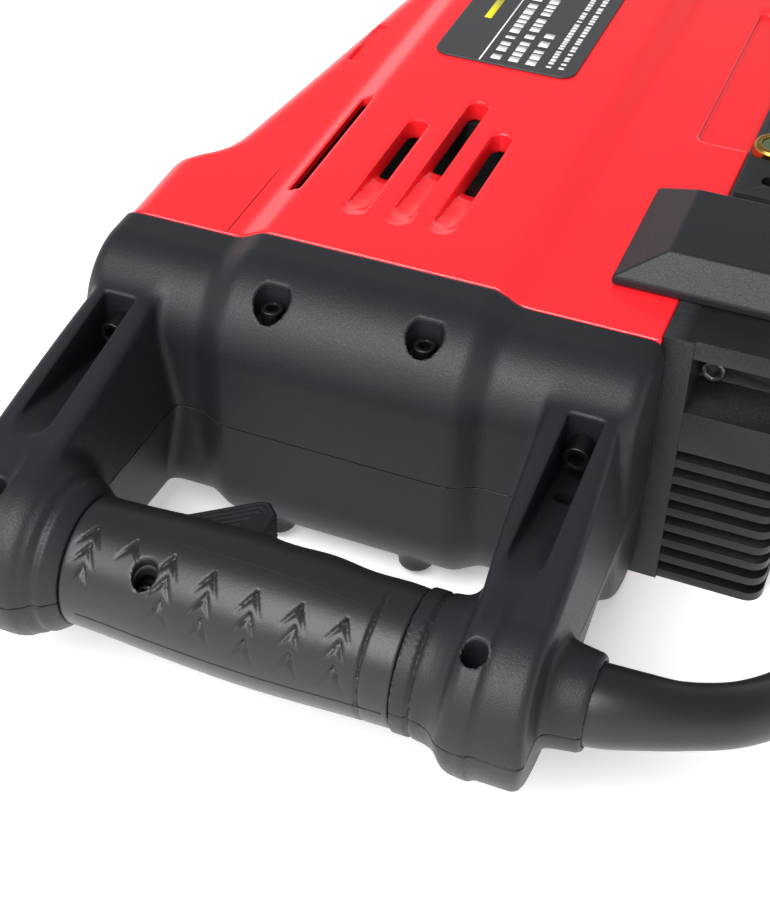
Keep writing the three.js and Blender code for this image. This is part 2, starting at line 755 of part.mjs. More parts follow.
function crankGear() {
  return join(
    rod('y', crownRadius, crownFace - 12, crownFace, crankX, 0, 32),
    rod('y', shaftRadius, webTop - 1, crownFace - 11, crankX, 0),
    rod('y', webRadius, webTop - 10, webTop, crankX, 0),
    rod('y', 8, pinEnd, webTop - 9, crankX + strokeRadius, 0),
  );
}

add('crank_gear', crankGear(), greySteel);

const bearingOuter = 21;
const carrierLow = -40;
const carrierHigh = -20;
const inside = sideHalf - housingWall - gap;
const crankBearing = ring('y', shaftRadius + gap, bearingOuter, carrierLow + 3, carrierHigh - 3, crankX, 0);
add('crank_bearing', crankBearing, brightSteel);

function gearFrame() {
  const plate = block(12, 106, carrierLow, carrierHigh, -inside, inside);
  return cut(plate, rod('y', bearingOuter + gap, carrierLow - 1, carrierHigh + 1, crankX, 0));
}

add('gear_frame', gearFrame(), blackCasting);

// ---------------------------------------------------------------- piston, rod and ram

const pinX = crankX + strokeRadius + rodLength;

add('cylinder_sleeve', ring('x', hammerBore, sleeveOuter, sleeveRear, sleeveFront, hammerY, 0, 32), brightSteel);

function pistonBody() {
  const radius = hammerBore - slip;
  const [rear, front] = [pinX - 16, pinX + 26];
  const crown = turned('x', [[0, rear], [radius, rear], [radius, front], [0, front]], hammerY, 0, 32);
  const skirt = rod('x', 18, pinX - 20, pinX + 16, hammerY, 0);
  return cut(crown, skirt, rod('y', 5 + gap, hammerY - 30, hammerY + 30, pinX, 0, 16));
}

add('piston', pistonBody(), greySteel);
const wristHalf = hammerBore - 1.5;
add('piston_pin', rod('y', 5, hammerY - wristHalf, hammerY + wristHalf, pinX, 0, 16), brightSteel);

function conRod() {
  const low = rodPlane - rodThickness / 2;
  const high = rodPlane + rodThickness / 2;
  const bigEnd = crankX + strokeRadius;
  const beam = block(bigEnd, pinX, low + 1, high - 1, -6, 6);
  const ends = join(rod('y', 13, low, high, bigEnd, 0), rod('y', 10, low, high, pinX, 0));
  const bigBore = rod('y', 8 + gap, low - 1, high + 1, bigEnd, 0);
  const smallBore = rod('y', 5 + slip, low - 1, high + 1, pinX, 0, 16);
  return cut(join(beam, ends), bigBore, smallBore);
}

add('con_rod', conRod(), greySteel);

const ramRear = 214;
const ramFront = 262;
const ramProfile = [[0, ramRear], [hammerBore - slip, ramRear], [hammerBore - slip, ramFront], [0, ramFront]];
add('striker', turned('x', ramProfile, hammerY, 0, 32), greySteel);

// ---------------------------------------------------------------- motor

const bridgeX = [107, 119];

function rotorBody() {
  const rear = crankX + crownRadius - 11;
  const profile = [
    [0, rear], [pinionRadius, rear], [pinionRadius, 105], [7.4, 105], [7.4, 128], [9, 128], [9, 140],
    [27, 140], [27, 212], [12, 212], [12, 217], [18, 217], [18, 238], [8, 238], [8, 242], [6, 242], [6, 256], [0, 256],
  ];
  return turned('x', profile, motorY, 0);
}

add('rotor', rotorBody(), copper);
add('fan', ring('x', 7.4 + 0.02, 40, 121, 127.6, motorY, 0), blackPlastic);
add('stator', ring('x', 28, statorRadius, 146, 208, motorY, 0, 32), greySteel);
add('motor_bearing_rear', ring('x', 7.4 + gap, 17, bridgeX[0] + 1, bridgeX[1] - 1, motorY, 0), brightSteel);
add('motor_bearing_front', ring('x', 6 + gap, 13, 245, 254, motorY, 0), brightSteel);

function bearingBridge() {
  const plate = block(bridgeX[0], bridgeX[1], -38, 56, -inside, inside);
  return cut(plate, rod('x', 17 + gap, bridgeX[0] - 1, bridgeX[1] + 1, motorY, 0));
}

add('bearing_bridge', bearingBridge(), blackCasting);
for (const [name, side] of [['brush_holder_right', 1], ['brush_holder_left', -1]]) {
  const span = side > 0 ? [18 + gap, inside - 1] : [-inside + 1, -18 - gap];
  add(name, block(221, 234, motorY - 6, motorY + 6, span[0], span[1]), brass);
}

// ---------------------------------------------------------------- front housing and barrel

const flangeRear = housingLength + gap;
const flangeFront = flangeRear + 14;

// A rounded rectangle around the X axis; with the corner as large as the half sides it is a circle.
function roundRing(x, low, high, half, corner) {
  const points = [];
  const [top, bottom, side] = [high - corner, low + corner, half - corner];
  const centres = [[top, side], [bottom, side], [bottom, -side], [top, -side]];
  centres.forEach(([y, z], k) => {
    for (let i = 0; i < 7; i += 1) {
      const angle = (k + i / 6.02) * (Math.PI / 2);
      points.push([x, y + corner * Math.cos(angle), z + corner * Math.sin(angle)]);
    }
  });
  return points;
}

function barrelStations(inset) {
  const round = barrelRadius - inset;
  const circle = (x) => roundRing(x, hammerY - round, hammerY + round, round, round - 0.01);
  return [
    roundRing(flangeFront, caseLow + 14 + inset, noseHigh - 10 - inset, 40 - inset, 16),
    roundRing(flangeFront + 18, caseLow + 15 + inset, 20 - inset, 42 - inset, 24),
    circle(flangeFront + 52), circle(barrelFront),
  ];
}

const flangeBolts = [[caseLow + 8, 38], [caseLow + 8, -38], [noseHigh - 6, 38], [noseHigh - 6, -38]];

function frontHousing() {
  const flange = loft([
    roundRing(flangeRear, caseLow, noseHigh, caseHalf - 1, 8),
    roundRing(flangeFront, caseLow, noseHigh, caseHalf - 1, 8),
  ]);
  const body = loft(barrelStations(0));
  const hollow = loft([
    roundRing(flangeRear - 1, caseLow + 22, noseHigh - 20, 36, 12),
    roundRing(flangeFront + 8, caseLow + 22, -10, 36, 12),
    roundRing(flangeFront + 20, caseLow + 30, -30, 32, 20),
  ]);
  const bore = rod('x', sleeveOuter + gap, flangeRear - 1, barrelFront + 1, hammerY, 0, 32);
  const seat = rod('x', holderRadius + gap, sleeveFront, barrelFront + 1, hammerY, 0, 32);
  const holes = flangeBolts.map(([y, z]) => rod('x', 4.3, flangeRear - 1, flangeFront + 1, y, z, 16));
  return cut(join(flange, body), hollow, bore, seat, ...holes);
}

add('front_housing', frontHousing(), blackCasting);
flangeBolts.forEach(([y, z], i) => {
  const bolt = capScrew(6.5, 8, 4, 13);
  placeScrew(`flange_bolt_${i + 1}`, bolt, [1, 0, 0], [flangeFront + gap, y, z], greySteel);
});

// ---------------------------------------------------------------- tool holder and latch

const noseFront = barrelFront + 14;
const noseRing = ring('x', holderRadius + gap, barrelRadius - 2, barrelFront + gap, noseFront, hammerY, 0, 32);
add('nose_ring', noseRing, softRubber);

const latchPivot = [holderFront - 60, hammerY + holderRadius + 8];
const latchHalf = 6.4;
const latchPin = 3;
const latchSlotRear = 8; // from the pivot forward to the slot that the hook drops into
const latchSlotFront = 36;

// Two ears beside the latch that carry its pin.
function latchEars() {
  const [px, py] = latchPivot;
  const ear = (side) => {
    const near = side * (latchHalf + slip);
    const far = side * (latchHalf + 5);
    const [low, high] = side > 0 ? [near, far] : [far, near];
    return block(px - 8, px + 8, hammerY + holderRadius - 6, py + 6, low, high);
  };
  return [ear(1), ear(-1)];
}

function toolHolder() {
  const rear = sleeveFront - 12;
  const profile = [
    [0, rear], [hammerBore - gap, rear], [hammerBore - gap, sleeveFront + gap],
    [holderRadius, sleeveFront + gap], [holderRadius, holderFront - 26], [holderRadius - 3, holderFront - 24],
    [holderRadius - 3, holderFront - 3], [holderRadius - 6, holderFront], [0, holderFront],
  ];
  const body = turned('x', profile, hammerY, 0, 32);
  const hexRadius = hexAcross / Math.sqrt(3);
  const socket = new THREE.CylinderGeometry(hexRadius, hexRadius, socketDepth + 1, 6);
  aim(socket, 'x').translate(holderFront - socketDepth / 2 + 0.5, hammerY, 0);
  const bolt = rod('x', 9, rear - 1, holderFront, hammerY, 0);
  const [px, py] = latchPivot;
  const half = latchHalf + slip;
  const slot = block(px + latchSlotRear, px + latchSlotFront, hammerY + 10, py + 10, -half, half);
  const pin = rod('z', latchPin + gap, -30, 30, px, py, 16);
  return cut(join(body, ...latchEars()), solid(socket), bolt, slot, pin);
}

add('tool_holder', toolHolder(), greySteel);
const impactRear = sleeveFront - 40;
add('impact_bolt', turned('x', [
  [0, impactRear], [16, impactRear], [16, sleeveFront - 13], [9 - slip, sleeveFront - 13],
  [9 - slip, holderFront - socketDepth - 2], [0, holderFront - socketDepth - 2],
], hammerY, 0), greySteel);

function toolLatch() {
  const [px, py] = latchPivot;
  const outline = [
    [px - 6, py - 3], [px - 3, py - 6], [px + 14, py - 6], [px + 14, hammerY + 17], [px + 24, hammerY + 17],
    [px + 28, py - 6], [px + 44, py - 4], [px + 44, py + 6], [px - 6, py + 6],
  ];
  return cut(prism(outline, -latchHalf, latchHalf), rod('z', latchPin + slip, -20, 20, px, py, 16));
}

add('tool_latch', toolLatch(), blackSteel);
add('latch_pin', rod('z', latchPin, -latchHalf - 5, latchHalf + 5, ...latchPivot, 16), brightSteel);

// ---------------------------------------------------------------- side handle

const stemStart = hammerY + clampRadius + 14;

function sideClamp() {
  const [rear, front] = [clampX - clampWidth / 2, clampX + clampWidth / 2];
  const boss = block(rear, front, hammerY + barrelRadius, stemStart, -15, 15);
  const band = rod('x', clampRadius, rear, front, hammerY, 0, 32);
  const bore = rod('x', barrelRadius + gap, rear - 1, front + 1, hammerY, 0, 32);
  const split = block(rear - 1, front + 1, hammerY + barrelRadius - 3, stemStart - 8, -2, 2);
  const screw = rod('y', 5 + slip, stemStart - 12, stemStart + 1, clampX, 0, 16);
  return cut(join(band, boss), bore, split, screw);
}

add('side_clamp', sideClamp(), blackCasting);

function sideStem() {
  return turned('y', [
    [0, stemStart - 6], [5, stemStart - 6], [5, stemStart + gap], [13, stemStart + gap], [13, stemStart + 6],
    [7, stemStart + 8], [7, stemStart + sideGripLength - 6], [0, stemStart + sideGripLength - 6],
  ], clampX, 0);
}

add('side_stem', sideStem(), brightSteel);

function sideGrip() {
  const start = stemStart + 8 + gap;
  const end = stemStart + sideGripLength;
  const r = sideGripRadius;
  const profile = [[0, start], [r + 4, start], [r + 4, start + 5], [r - 1.5, start + 11]];
  profile.push([r + 0.5, (start + end) / 2], [r - 1, end - 16], [r + 2, end - 6], [r, end], [0, end]);
  const core = rod('y', 7 + gap, start - 1, end - 6 + gap, clampX, 0);
  return cut(turned('y', profile, clampX, 0), core);
}

add('side_grip', sideGrip(), softRubber);

// ---------------------------------------------------------------- row frame

// The origin is the bottom centre of the box around everything but the cord, its coil and its plug.
function bottomCentre() {
  const box = new THREE.Box3();
  hammer.updateMatrixWorld(true);
  hammer.traverse((piece) => {
    const onCord = ['cord', 'cord_coil'].includes(piece.name) || piece.name.startsWith('plug');
    if (piece.isMesh && !onCord) box.expandByObject(piece, true);
  });
  const centre = box.getCenter(new THREE.Vector3());
  return [centre.x, centre.y, box.min.z];
}

hammer.position.fromArray(bottomCentre()).negate();

export default hammer;
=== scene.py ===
import json
import math

import bmesh
import bpy
import numpy as np
from mathutils import Matrix, Vector


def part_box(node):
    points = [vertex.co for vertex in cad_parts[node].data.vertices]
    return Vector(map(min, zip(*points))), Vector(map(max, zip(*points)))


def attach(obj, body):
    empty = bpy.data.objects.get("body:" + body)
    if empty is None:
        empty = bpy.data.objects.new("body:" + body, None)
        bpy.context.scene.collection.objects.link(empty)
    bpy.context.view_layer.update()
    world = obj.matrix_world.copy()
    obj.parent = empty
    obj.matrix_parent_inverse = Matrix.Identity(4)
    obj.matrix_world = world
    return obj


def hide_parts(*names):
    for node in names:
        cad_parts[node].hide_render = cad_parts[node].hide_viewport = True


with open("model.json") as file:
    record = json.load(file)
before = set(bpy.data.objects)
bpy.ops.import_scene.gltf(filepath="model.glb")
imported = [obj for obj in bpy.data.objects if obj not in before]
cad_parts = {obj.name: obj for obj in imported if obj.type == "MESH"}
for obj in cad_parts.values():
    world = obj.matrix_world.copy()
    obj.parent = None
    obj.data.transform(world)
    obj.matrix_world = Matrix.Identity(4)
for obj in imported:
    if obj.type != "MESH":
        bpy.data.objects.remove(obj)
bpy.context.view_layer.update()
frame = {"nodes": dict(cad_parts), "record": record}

nodes = frame["nodes"]
bodyOf = {n: b for b, ns in frame["record"]["behaviour"]["bodies"].items() for n in ns}
scene = bpy.context.scene

# Shapes are worked out in millimetres from the machine's own origin: X forward, Y to its top, Z up here.
housingCorner = (0, -88, -54)  # the red housing's low corner, seen from there
zero = np.array(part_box("motor_housing")[0]) * 1000 - housingCorner


def toFrame(points):
    return (np.asarray(points, float) + zero) * 0.001


cameraValues = {
    "place": (-440.4, -165.0, 384.0),
    "heading": 21.0,  # degrees from +X towards +Y
    "dip": 41.5,
    "roll": 1.3,
    "lens": 68.18,
}


def makeCamera(v):
    h, d, r = (math.radians(v[k]) for k in ("heading", "dip", "roll"))
    forward = Vector((math.cos(h) * math.cos(d), math.sin(h) * math.cos(d), -math.sin(d)))
    right = Vector((math.sin(h), -math.cos(h), 0))
    up = right.cross(forward)
    side = right * math.cos(r) + up * math.sin(r)
    top = up * math.cos(r) - right * math.sin(r)
    data = bpy.data.cameras.new("camera")
    data.lens = v["lens"]
    data.sensor_width = 36
    data.clip_start = 0.02
    data.clip_end = 50
    camera = bpy.data.objects.new("camera", data)
    turn = Matrix((side, top, -forward)).transposed().to_4x4()
    camera.matrix_world = Matrix.Translation(Vector(toFrame(v["place"]))) @ turn
    scene.collection.objects.link(camera)
    scene.camera = camera


makeCamera(cameraValues)
print("camera made")

# Each shape is a pair: its points, and a list of face arrays.


def addMesh(name, *shapes, sharp=None):
    # One object from several shapes; sharp is the angle in degrees above which an edge stays crisp.
    points, corners, sizes, start = [], [], [], 0
    for some, faces in shapes:
        points.append(np.asarray(some, float))
        for group in faces:
            group = np.asarray(group)
            corners.append(group.ravel() + start)
            sizes.append(np.full(len(group), group.shape[1]))
        start += len(some)
    points, corners, sizes = (np.concatenate(a) for a in (points, corners, sizes))
    mesh = bpy.data.meshes.new(name)
    mesh.vertices.add(len(points))
    mesh.vertices.foreach_set("co", toFrame(points).astype(np.float32).ravel())
    mesh.loops.add(len(corners))
    mesh.loops.foreach_set("vertex_index", corners.astype(np.int32))
    mesh.polygons.add(len(sizes))
    mesh.polygons.foreach_set("loop_start", np.concatenate([[0], np.cumsum(sizes)[:-1]]).astype(np.int32))
    mesh.update(calc_edges=True)
    mesh.validate()
    mesh.shade_smooth()
    if sharp:
        mesh.set_sharp_from_angle(angle=math.radians(sharp))
    obj = bpy.data.objects.new(name, mesh)
    scene.collection.objects.link(obj)
    return obj


def tidy(obj, reach=1e-6):
    # Doubles joined and every face turned outward.
    bm = bmesh.new()
    bm.from_mesh(obj.data)
    bmesh.ops.remove_doubles(bm, verts=bm.verts, dist=reach)
    bmesh.ops.recalc_face_normals(bm, faces=bm.faces)
    bm.to_mesh(obj.data)
    bm.free()
    return obj


def finish(obj, material, slot, *replaced, body=None):
    # Gives the piece its material and its body, and hides the CAD nodes that it stands for.
    obj.data.materials.clear()
    obj.data.materials.append(material)
    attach(obj, body or bodyOf[replaced[0]])
    if replaced:
        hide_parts(*replaced)
    return obj


def gridFaces(rows, columns, wrap=False):
    # Quads between neighbouring points of a grid stored row by row. Each row closes on itself.
    i, j = np.meshgrid(np.arange(rows if wrap else rows - 1), np.arange(columns), indexing="ij")
    here, across = i * columns, (i + 1) % rows * columns
    following = (j + 1) % columns
    return np.stack([here + j, here + following, across + following, across + j], -1).reshape(-1, 4)


def rounded(profile, reach, steps=4, closed=False):
    # Each corner becomes a short curve: p = (1-t)^2 a + 2t(1-t) corner + t^2 b.
    points = np.asarray(profile, float)
    made = []
    count = len(points)
    for i in range(count):
        if not closed and i in (0, count - 1):
            made.append(points[i][None])
            continue
        here, before, after = points[i], points[i - 1], points[(i + 1) % count]
        near = min(reach, 0.45 * np.linalg.norm(here - before), 0.45 * np.linalg.norm(after - here))
        a = here + (before - here) * near / np.linalg.norm(before - here)
        b = here + (after - here) * near / np.linalg.norm(after - here)
        t = np.linspace(0, 1, steps + 1)[:, None]
        made.append((1 - t) ** 2 * a + 2 * t * (1 - t) * here + t ** 2 * b)
    return np.concatenate(made)


def frameOf(direction):
    w = np.asarray(direction, float) / np.linalg.norm(direction)
    u = np.cross(w, (0, 0, 1) if abs(w[2]) < 0.9 else (1, 0, 0))
    u /= np.linalg.norm(u)
    return u, np.cross(w, u), w


def revolve(profile, centre, direction, sides=64, closed=False, hexFrom=None, hexAcross=0):
    # A turned shape from (radius, along) pairs. From row hexFrom on, the radius is a hexagon's:
    # half / cos(a).
    profile = np.asarray(profile, float)
    u, v, w = frameOf(direction)
    angle = np.arange(sides) / sides * math.tau
    radius = np.repeat(profile[:, :1], sides, 1)
    if hexFrom is not None:
        away = (angle + math.pi / 6) % (math.pi / 3) - math.pi / 6
        scale = (hexAcross / 2) / np.cos(away)
        rows = np.arange(len(profile)) >= hexFrom
        radius = np.where(rows[:, None] & (radius > 0), scale[None], radius)
    points = (np.asarray(centre, float) + profile[:, 1, None, None] * w
              + radius[..., None] * (np.cos(angle)[:, None] * u + np.sin(angle)[:, None] * v))
    return points.reshape(-1, 3), [gridFaces(len(profile), sides, wrap=closed)]


def smoothPath(points, step):
    # A Catmull-Rom curve through the points, taken at even steps along its length.
    p = np.asarray(points, float)
    p = np.vstack([2 * p[0] - p[1], p, 2 * p[-1] - p[-2]])
    t = np.linspace(0, 1, 40, endpoint=False)[:, None]
    parts = []
    for a, b, c, d in zip(p[:-3], p[1:-2], p[2:-1], p[3:]):
        bend = (2 * a - 5 * b + 4 * c - d) * t ** 2
        parts.append(0.5 * (2 * b + (c - a) * t + bend + (3 * b - a - 3 * c + d) * t ** 3))
    dense = np.vstack(parts + [p[-2][None]])
    return evenly(dense, step)


def evenly(dense, step):
    along = np.concatenate([[0], np.cumsum(np.linalg.norm(np.diff(dense, axis=0), axis=1))])
    wanted = np.linspace(0, along[-1], max(2, round(along[-1] / step) + 1))
    return np.stack([np.interp(wanted, along, dense[:, k]) for k in range(3)], -1)


def sweep(path, radii, sides=16):
    # A closed tube: ring = centre + r (cos a side + sin a up), with its two ends as flat faces.
    path = np.asarray(path, float)
    radii = np.broadcast_to(radii, len(path))
    tangent = np.gradient(path, axis=0)
    tangent /= np.linalg.norm(tangent, axis=1)[:, None]
    side = np.cross(tangent, (0, 0, 1))
    side /= np.linalg.norm(side, axis=1)[:, None]
    up = np.cross(side, tangent)
    angle = np.arange(sides) / sides * math.tau
    ring = np.cos(angle)[None, :, None] * side[:, None] + np.sin(angle)[None, :, None] * up[:, None]
    points = (path[:, None] + radii[:, None, None] * ring).reshape(-1, 3)
    first = np.arange(sides)
    last = first + (len(path) - 1) * sides
    return points, [gridFaces(len(path), sides), first[::-1][None], last[None]]


# The cord's route is a list of given places, and the coil's turns are worked out from angles.

guardValues = {
    "route": [(-109, -94, 0), (-109, -104, 0), (-106.3, -116, -0.6), (-101.3, -128.6, -2.6),
              (-91.6, -142.6, -6), (-76, -154, -11.2), (-57, -161, -17.5), (-36, -165, -26)],
    "shares": [0, 0.1, 0.3, 0.75, 0.985, 1],  # of the guard's length, and its radii there
    "radii": [12.6, 12.6, 9.9, 9.1, 6.4, 5.4],
}
cordValues = {
    "radius": 4.75,
    "route": [(-38, -164.7, -25.2), (-35, -165.1, -26.5), (-14, -167.8, -36.5), (6, -169.7, -44.6),
              (24, -170.4, -48.5), (38, -170.5, -49.2), (56, -170.5, -49.2), (75, -170.5, -49.2)],
    "centre": (75, -229.3),
    # the coil: degrees turned and the radius there, then degrees turned and the height there
    "turnAt": [0, 250, 350, 770, 870, 1290, 1390, 1650, 1750, 1800],
    "turnRadius": [58.8, 58.8, 49.2, 49.2, 58.8, 58.8, 49.2, 49.2, 58.8, 58.8],
    "riseAt": [0, 510, 610, 1030, 1130, 1550, 1650, 1800],
    "height": [-49.2, -49.2, -39.6, -39.6, -30, -30, -20.4, -20.4],
    "plugEnd": (157.7, -170.5, -41.7),
}


def eased(x, xs, ys):
    # Between two keys the value follows 3t^2 - 2t^3.
    xs, ys = np.asarray(xs, float), np.asarray(ys, float)
    i = np.clip(np.searchsorted(xs, x, side="right") - 1, 0, len(xs) - 2)
    t = np.clip((x - xs[i]) / (xs[i + 1] - xs[i]), 0, 1)
    return ys[i] + (ys[i + 1] - ys[i]) * t * t * (3 - 2 * t)


def cordPath(v):
    turn = np.arange(5, 1800.1, 5)
    angle = np.radians(90 - turn)
    radius = eased(turn, v["turnAt"], v["turnRadius"])
    coil = np.stack([v["centre"][0] + radius * np.cos(angle), v["centre"][1] + radius * np.sin(angle),
                     eased(turn, v["riseAt"], v["height"])], -1)
    end = np.array(v["plugEnd"])
    t = np.linspace(0, 1, 24)[1:]
    tail = np.stack([coil[-1, 0] + (end[0] - coil[-1, 0]) * t, coil[-1, 1] + (end[1] - coil[-1, 1]) * t,
                     coil[-1, 2] + (end[2] - coil[-1, 2]) * t * t * (3 - 2 * t)], -1)
    return evenly(np.vstack([smoothPath(v["route"], 2), coil, tail]), 3.2)


cordLine = cordPath(cordValues)
cord = addMesh("cord_flex", sweep(cordLine, cordValues["radius"], 18), sharp=50)
guardLine = smoothPath(guardValues["route"], 1.6)
share = np.linspace(0, 1, len(guardLine))
guardRadii = np.interp(share, guardValues["shares"], guardValues["radii"])
guardRadii = np.convolve(np.pad(guardRadii, 3, mode="edge"), np.ones(7) / 7, "valid")
guard = addMesh("cord_guard_sleeve", sweep(guardLine, guardRadii, 40), sharp=50)

# Colours are sRGB, and grain and mottle are sizes in millimetres on the object.


def linear(hexColour):
    # sRGB to linear light: ((s + 0.055) / 1.055) ^ 2.4
    values = [int(hexColour[i:i + 2], 16) / 255 for i in (1, 3, 5)]
    return tuple(v / 12.92 if v < 0.04045 else ((v + 0.055) / 1.055) ** 2.4 for v in values) + (1,)


def addNode(tree, kind, links=None, **values):
    node = tree.nodes.new("ShaderNode" + kind)
    for key, value in values.items():
        setattr(node, key, value)
    for name, value in (links or {}).items():
        if hasattr(value, "node"):
            tree.links.new(value, node.inputs[name])
        else:
            node.inputs[name].default_value = value
    return node


def surface(name, v):
    # Mottle changes the colour over centimetres, grain is the fine relief and gloss in millimetres, and
    # worn lightens convex edges.
    material = bpy.data.materials.new(name)
    material.use_nodes = True
    tree = material.node_tree
    tree.nodes.clear()
    place = addNode(tree, "TexCoord").outputs["Object"]
    stretched = addNode(tree, "Mapping", {"Vector": place, "Scale": v.get("stretch", (1, 1, 1))})
    mottle = addNode(tree, "TexNoise", {
        "Vector": place, "Scale": 1000 / v.get("mottleMm", 30), "Detail": 3.0})
    grain = addNode(tree, "TexNoise", {
        "Vector": stretched.outputs["Vector"], "Scale": 1000 / v["grainMm"],
        "Detail": 2.0, "Roughness": 0.6})
    base = linear(v["colour"])
    shade = v.get("shade", 0.08)
    darker = tuple(c * (1 - shade) for c in base[:3]) + (1,)
    lighter = tuple(min(1, c * (1 + shade)) for c in base[:3]) + (1,)
    mixed = addNode(tree, "Mix", {
        "Factor": mottle.outputs["Fac"], "A": darker, "B": lighter}, data_type="RGBA")
    colour = mixed.outputs["Result"]
    if "wornColour" in v:
        edge = addNode(tree, "MapRange", {
            "Value": addNode(tree, "NewGeometry").outputs["Pointiness"],
            "From Min": 0.53, "From Max": 0.6, "To Min": 0.0, "To Max": v["worn"]})
        broken = addNode(tree, "Math", {
            0: edge.outputs["Result"], 1: grain.outputs["Fac"]}, operation="MULTIPLY")
        wear = addNode(tree, "Mix", {
            "Factor": broken.outputs["Value"], "A": colour, "B": linear(v["wornColour"])}, data_type="RGBA")
        colour = wear.outputs["Result"]
    low, high = v["roughness"]
    rough = addNode(tree, "MapRange", {
        "Value": grain.outputs["Fac"], "From Min": 0.3, "From Max": 0.7, "To Min": low, "To Max": high})
    bump = addNode(tree, "Bump", {
        "Height": grain.outputs["Fac"], "Strength": v.get("relief", 0.2), "Distance": v["grainMm"] * 0.0005})
    shader = addNode(tree, "BsdfPrincipled", {
        "Base Color": colour, "Roughness": rough.outputs["Result"], "Normal": bump.outputs["Normal"]})
    shader.inputs["Metallic"].default_value = v.get("metal", 0.0)
    shader.inputs["Specular IOR Level"].default_value = v.get("specular", 0.5)
    output = addNode(tree, "OutputMaterial")
    tree.links.new(shader.outputs["BSDF"], output.inputs["Surface"])
    return material


# Injection-moulded ABS, polished in the mould: a saturated red under a clear reflection.
redAbs = surface("red_moulded_abs", {
    "colour": "#F0242C", "roughness": (0.17, 0.25), "grainMm": 1.6, "relief": 0.02, "mottleMm": 45,
    "shade": 0.02, "specular": 0.5})
# Glass-filled nylon from a spark-eroded mould: near black, with a fine satin grain.
blackNylon = surface("black_spark_eroded_nylon", {
    "colour": "#1A1B20", "roughness": (0.38, 0.54), "grainMm": 0.55, "relief": 0.4, "mottleMm": 26,
    "shade": 0.12, "specular": 0.34})
# Overmoulded soft-touch rubber: a smoother, slightly greyer skin.
softTouch = surface("soft_touch_overmould", {
    "colour": "#1D1E20", "roughness": (0.3, 0.42), "grainMm": 0.45, "relief": 0.18, "mottleMm": 18,
    "shade": 0.1, "specular": 0.42})
# Extruded PVC jacket: smooth with a soft sheen.
cordPvc = surface("extruded_pvc_jacket", {
    "colour": "#17181A", "roughness": (0.32, 0.42), "grainMm": 0.8, "relief": 0.06, "mottleMm": 40,
    "shade": 0.1, "specular": 0.45})
# Die casting under black powder coat: a fine orange peel, worn to a paler grey on its edges.
powderCast = surface("powder_coated_casting", {
    "colour": "#141517", "roughness": (0.3, 0.46), "grainMm": 0.9, "relief": 0.12, "mottleMm": 22,
    "shade": 0.15, "specular": 0.42, "wornColour": "#5B5D60", "worn": 0.35})
# Screw steel after black oxide: dark and oily, bright where a key has rubbed it.
blackOxide = surface("black_oxide_steel", {
    "colour": "#2A2B2D", "roughness": (0.26, 0.42), "grainMm": 0.5, "relief": 0.2, "metal": 0.85,
    "shade": 0.15, "mottleMm": 5, "wornColour": "#8A8C8E", "worn": 0.5})
# Turned grey steel: fine tool marks round the axis.
turnedSteel = surface("turned_grey_steel", {
    "colour": "#6C6F72", "roughness": (0.24, 0.4), "grainMm": 0.6, "relief": 0.25, "metal": 0.95,
    "shade": 0.12, "mottleMm": 12, "stretch": (6, 1, 1)})
# Ground and polished steel: pale, with fine marks across its length.
groundSteel = surface("ground_bright_steel", {
    "colour": "#B9BBBD", "roughness": (0.16, 0.28), "grainMm": 0.5, "relief": 0.12, "metal": 1.0,
    "shade": 0.06, "mottleMm": 16, "stretch": (1, 5, 1)})
# Turned brass, a little dulled: warm yellow with a soft shine.
turnedBrass = surface("turned_brass", {
    "colour": "#B48F45", "roughness": (0.2, 0.36), "grainMm": 0.5, "relief": 0.2, "metal": 1.0,
    "shade": 0.15, "mottleMm": 6})
# Varnished copper wire, wound close: brown-red with a ridged shine.
woundCopper = surface("varnished_copper", {
    "colour": "#A4562A", "roughness": (0.28, 0.5), "grainMm": 0.7, "relief": 0.8, "metal": 0.8,
    "shade": 0.2, "mottleMm": 4, "stretch": (0.2, 1, 1)})
# Printed polyester film: a satin charcoal sheet.
printedFilm = surface("printed_polyester_film", {
    "colour": "#37373A", "roughness": (0.3, 0.38), "grainMm": 0.7, "relief": 0.05, "mottleMm": 30,
    "shade": 0.05})
# Screen ink: flat and opaque, in white and in yellow.
whiteInk = surface("white_screen_ink", {
    "colour": "#E8E8E6", "roughness": (0.4, 0.5), "grainMm": 0.6, "relief": 0.1, "shade": 0.04})
yellowInk = surface("yellow_screen_ink", {
    "colour": "#D9CF1E", "roughness": (0.4, 0.5), "grainMm": 0.6, "relief": 0.1, "shade": 0.05})
# Shadow inside a fine joint between two mouldings.
jointShadow = surface("joint_shadow", {
    "colour": "#0C0C0D", "roughness": (0.7, 0.8), "grainMm": 0.5, "relief": 0.1})
redJoint = surface("red_joint_shadow", {
    "colour": "#6A060C", "roughness": (0.5, 0.6), "grainMm": 0.5, "relief": 0.1})
# Oil behind glass: dark olive, smooth and bright.
sightGlass = surface("sight_glass", {
    "colour": "#4E5A3C", "roughness": (0.06, 0.1), "grainMm": 1.0, "relief": 0.02, "specular": 0.7,
    "shade": 0.2, "mottleMm": 4})

slotMaterials = {
    "red_housing": redAbs, "black_plastic": blackNylon, "soft_grip": softTouch, "cord_rubber": cordPvc,
    "black_casting": powderCast, "black_steel": blackOxide, "grey_steel": turnedSteel,
    "bright_steel": groundSteel, "brass_parts": turnedBrass, "copper_windings": woundCopper,
    "label_film": printedFilm,
}
slotOf = {s["node"]: s["material_slot"] for s in frame["record"]["subparts"]}
# Every CAD node gets the material of its slot.
for name, obj in nodes.items():
    obj.data.materials.clear()
    obj.data.materials.append(slotMaterials[slotOf[name]])
print("materials made")

# A field gives a distance in millimetres, negative inside the piece.


def length(*parts):
    total = 0
    for part in parts:
        total = total + part * part
    return np.sqrt(total)


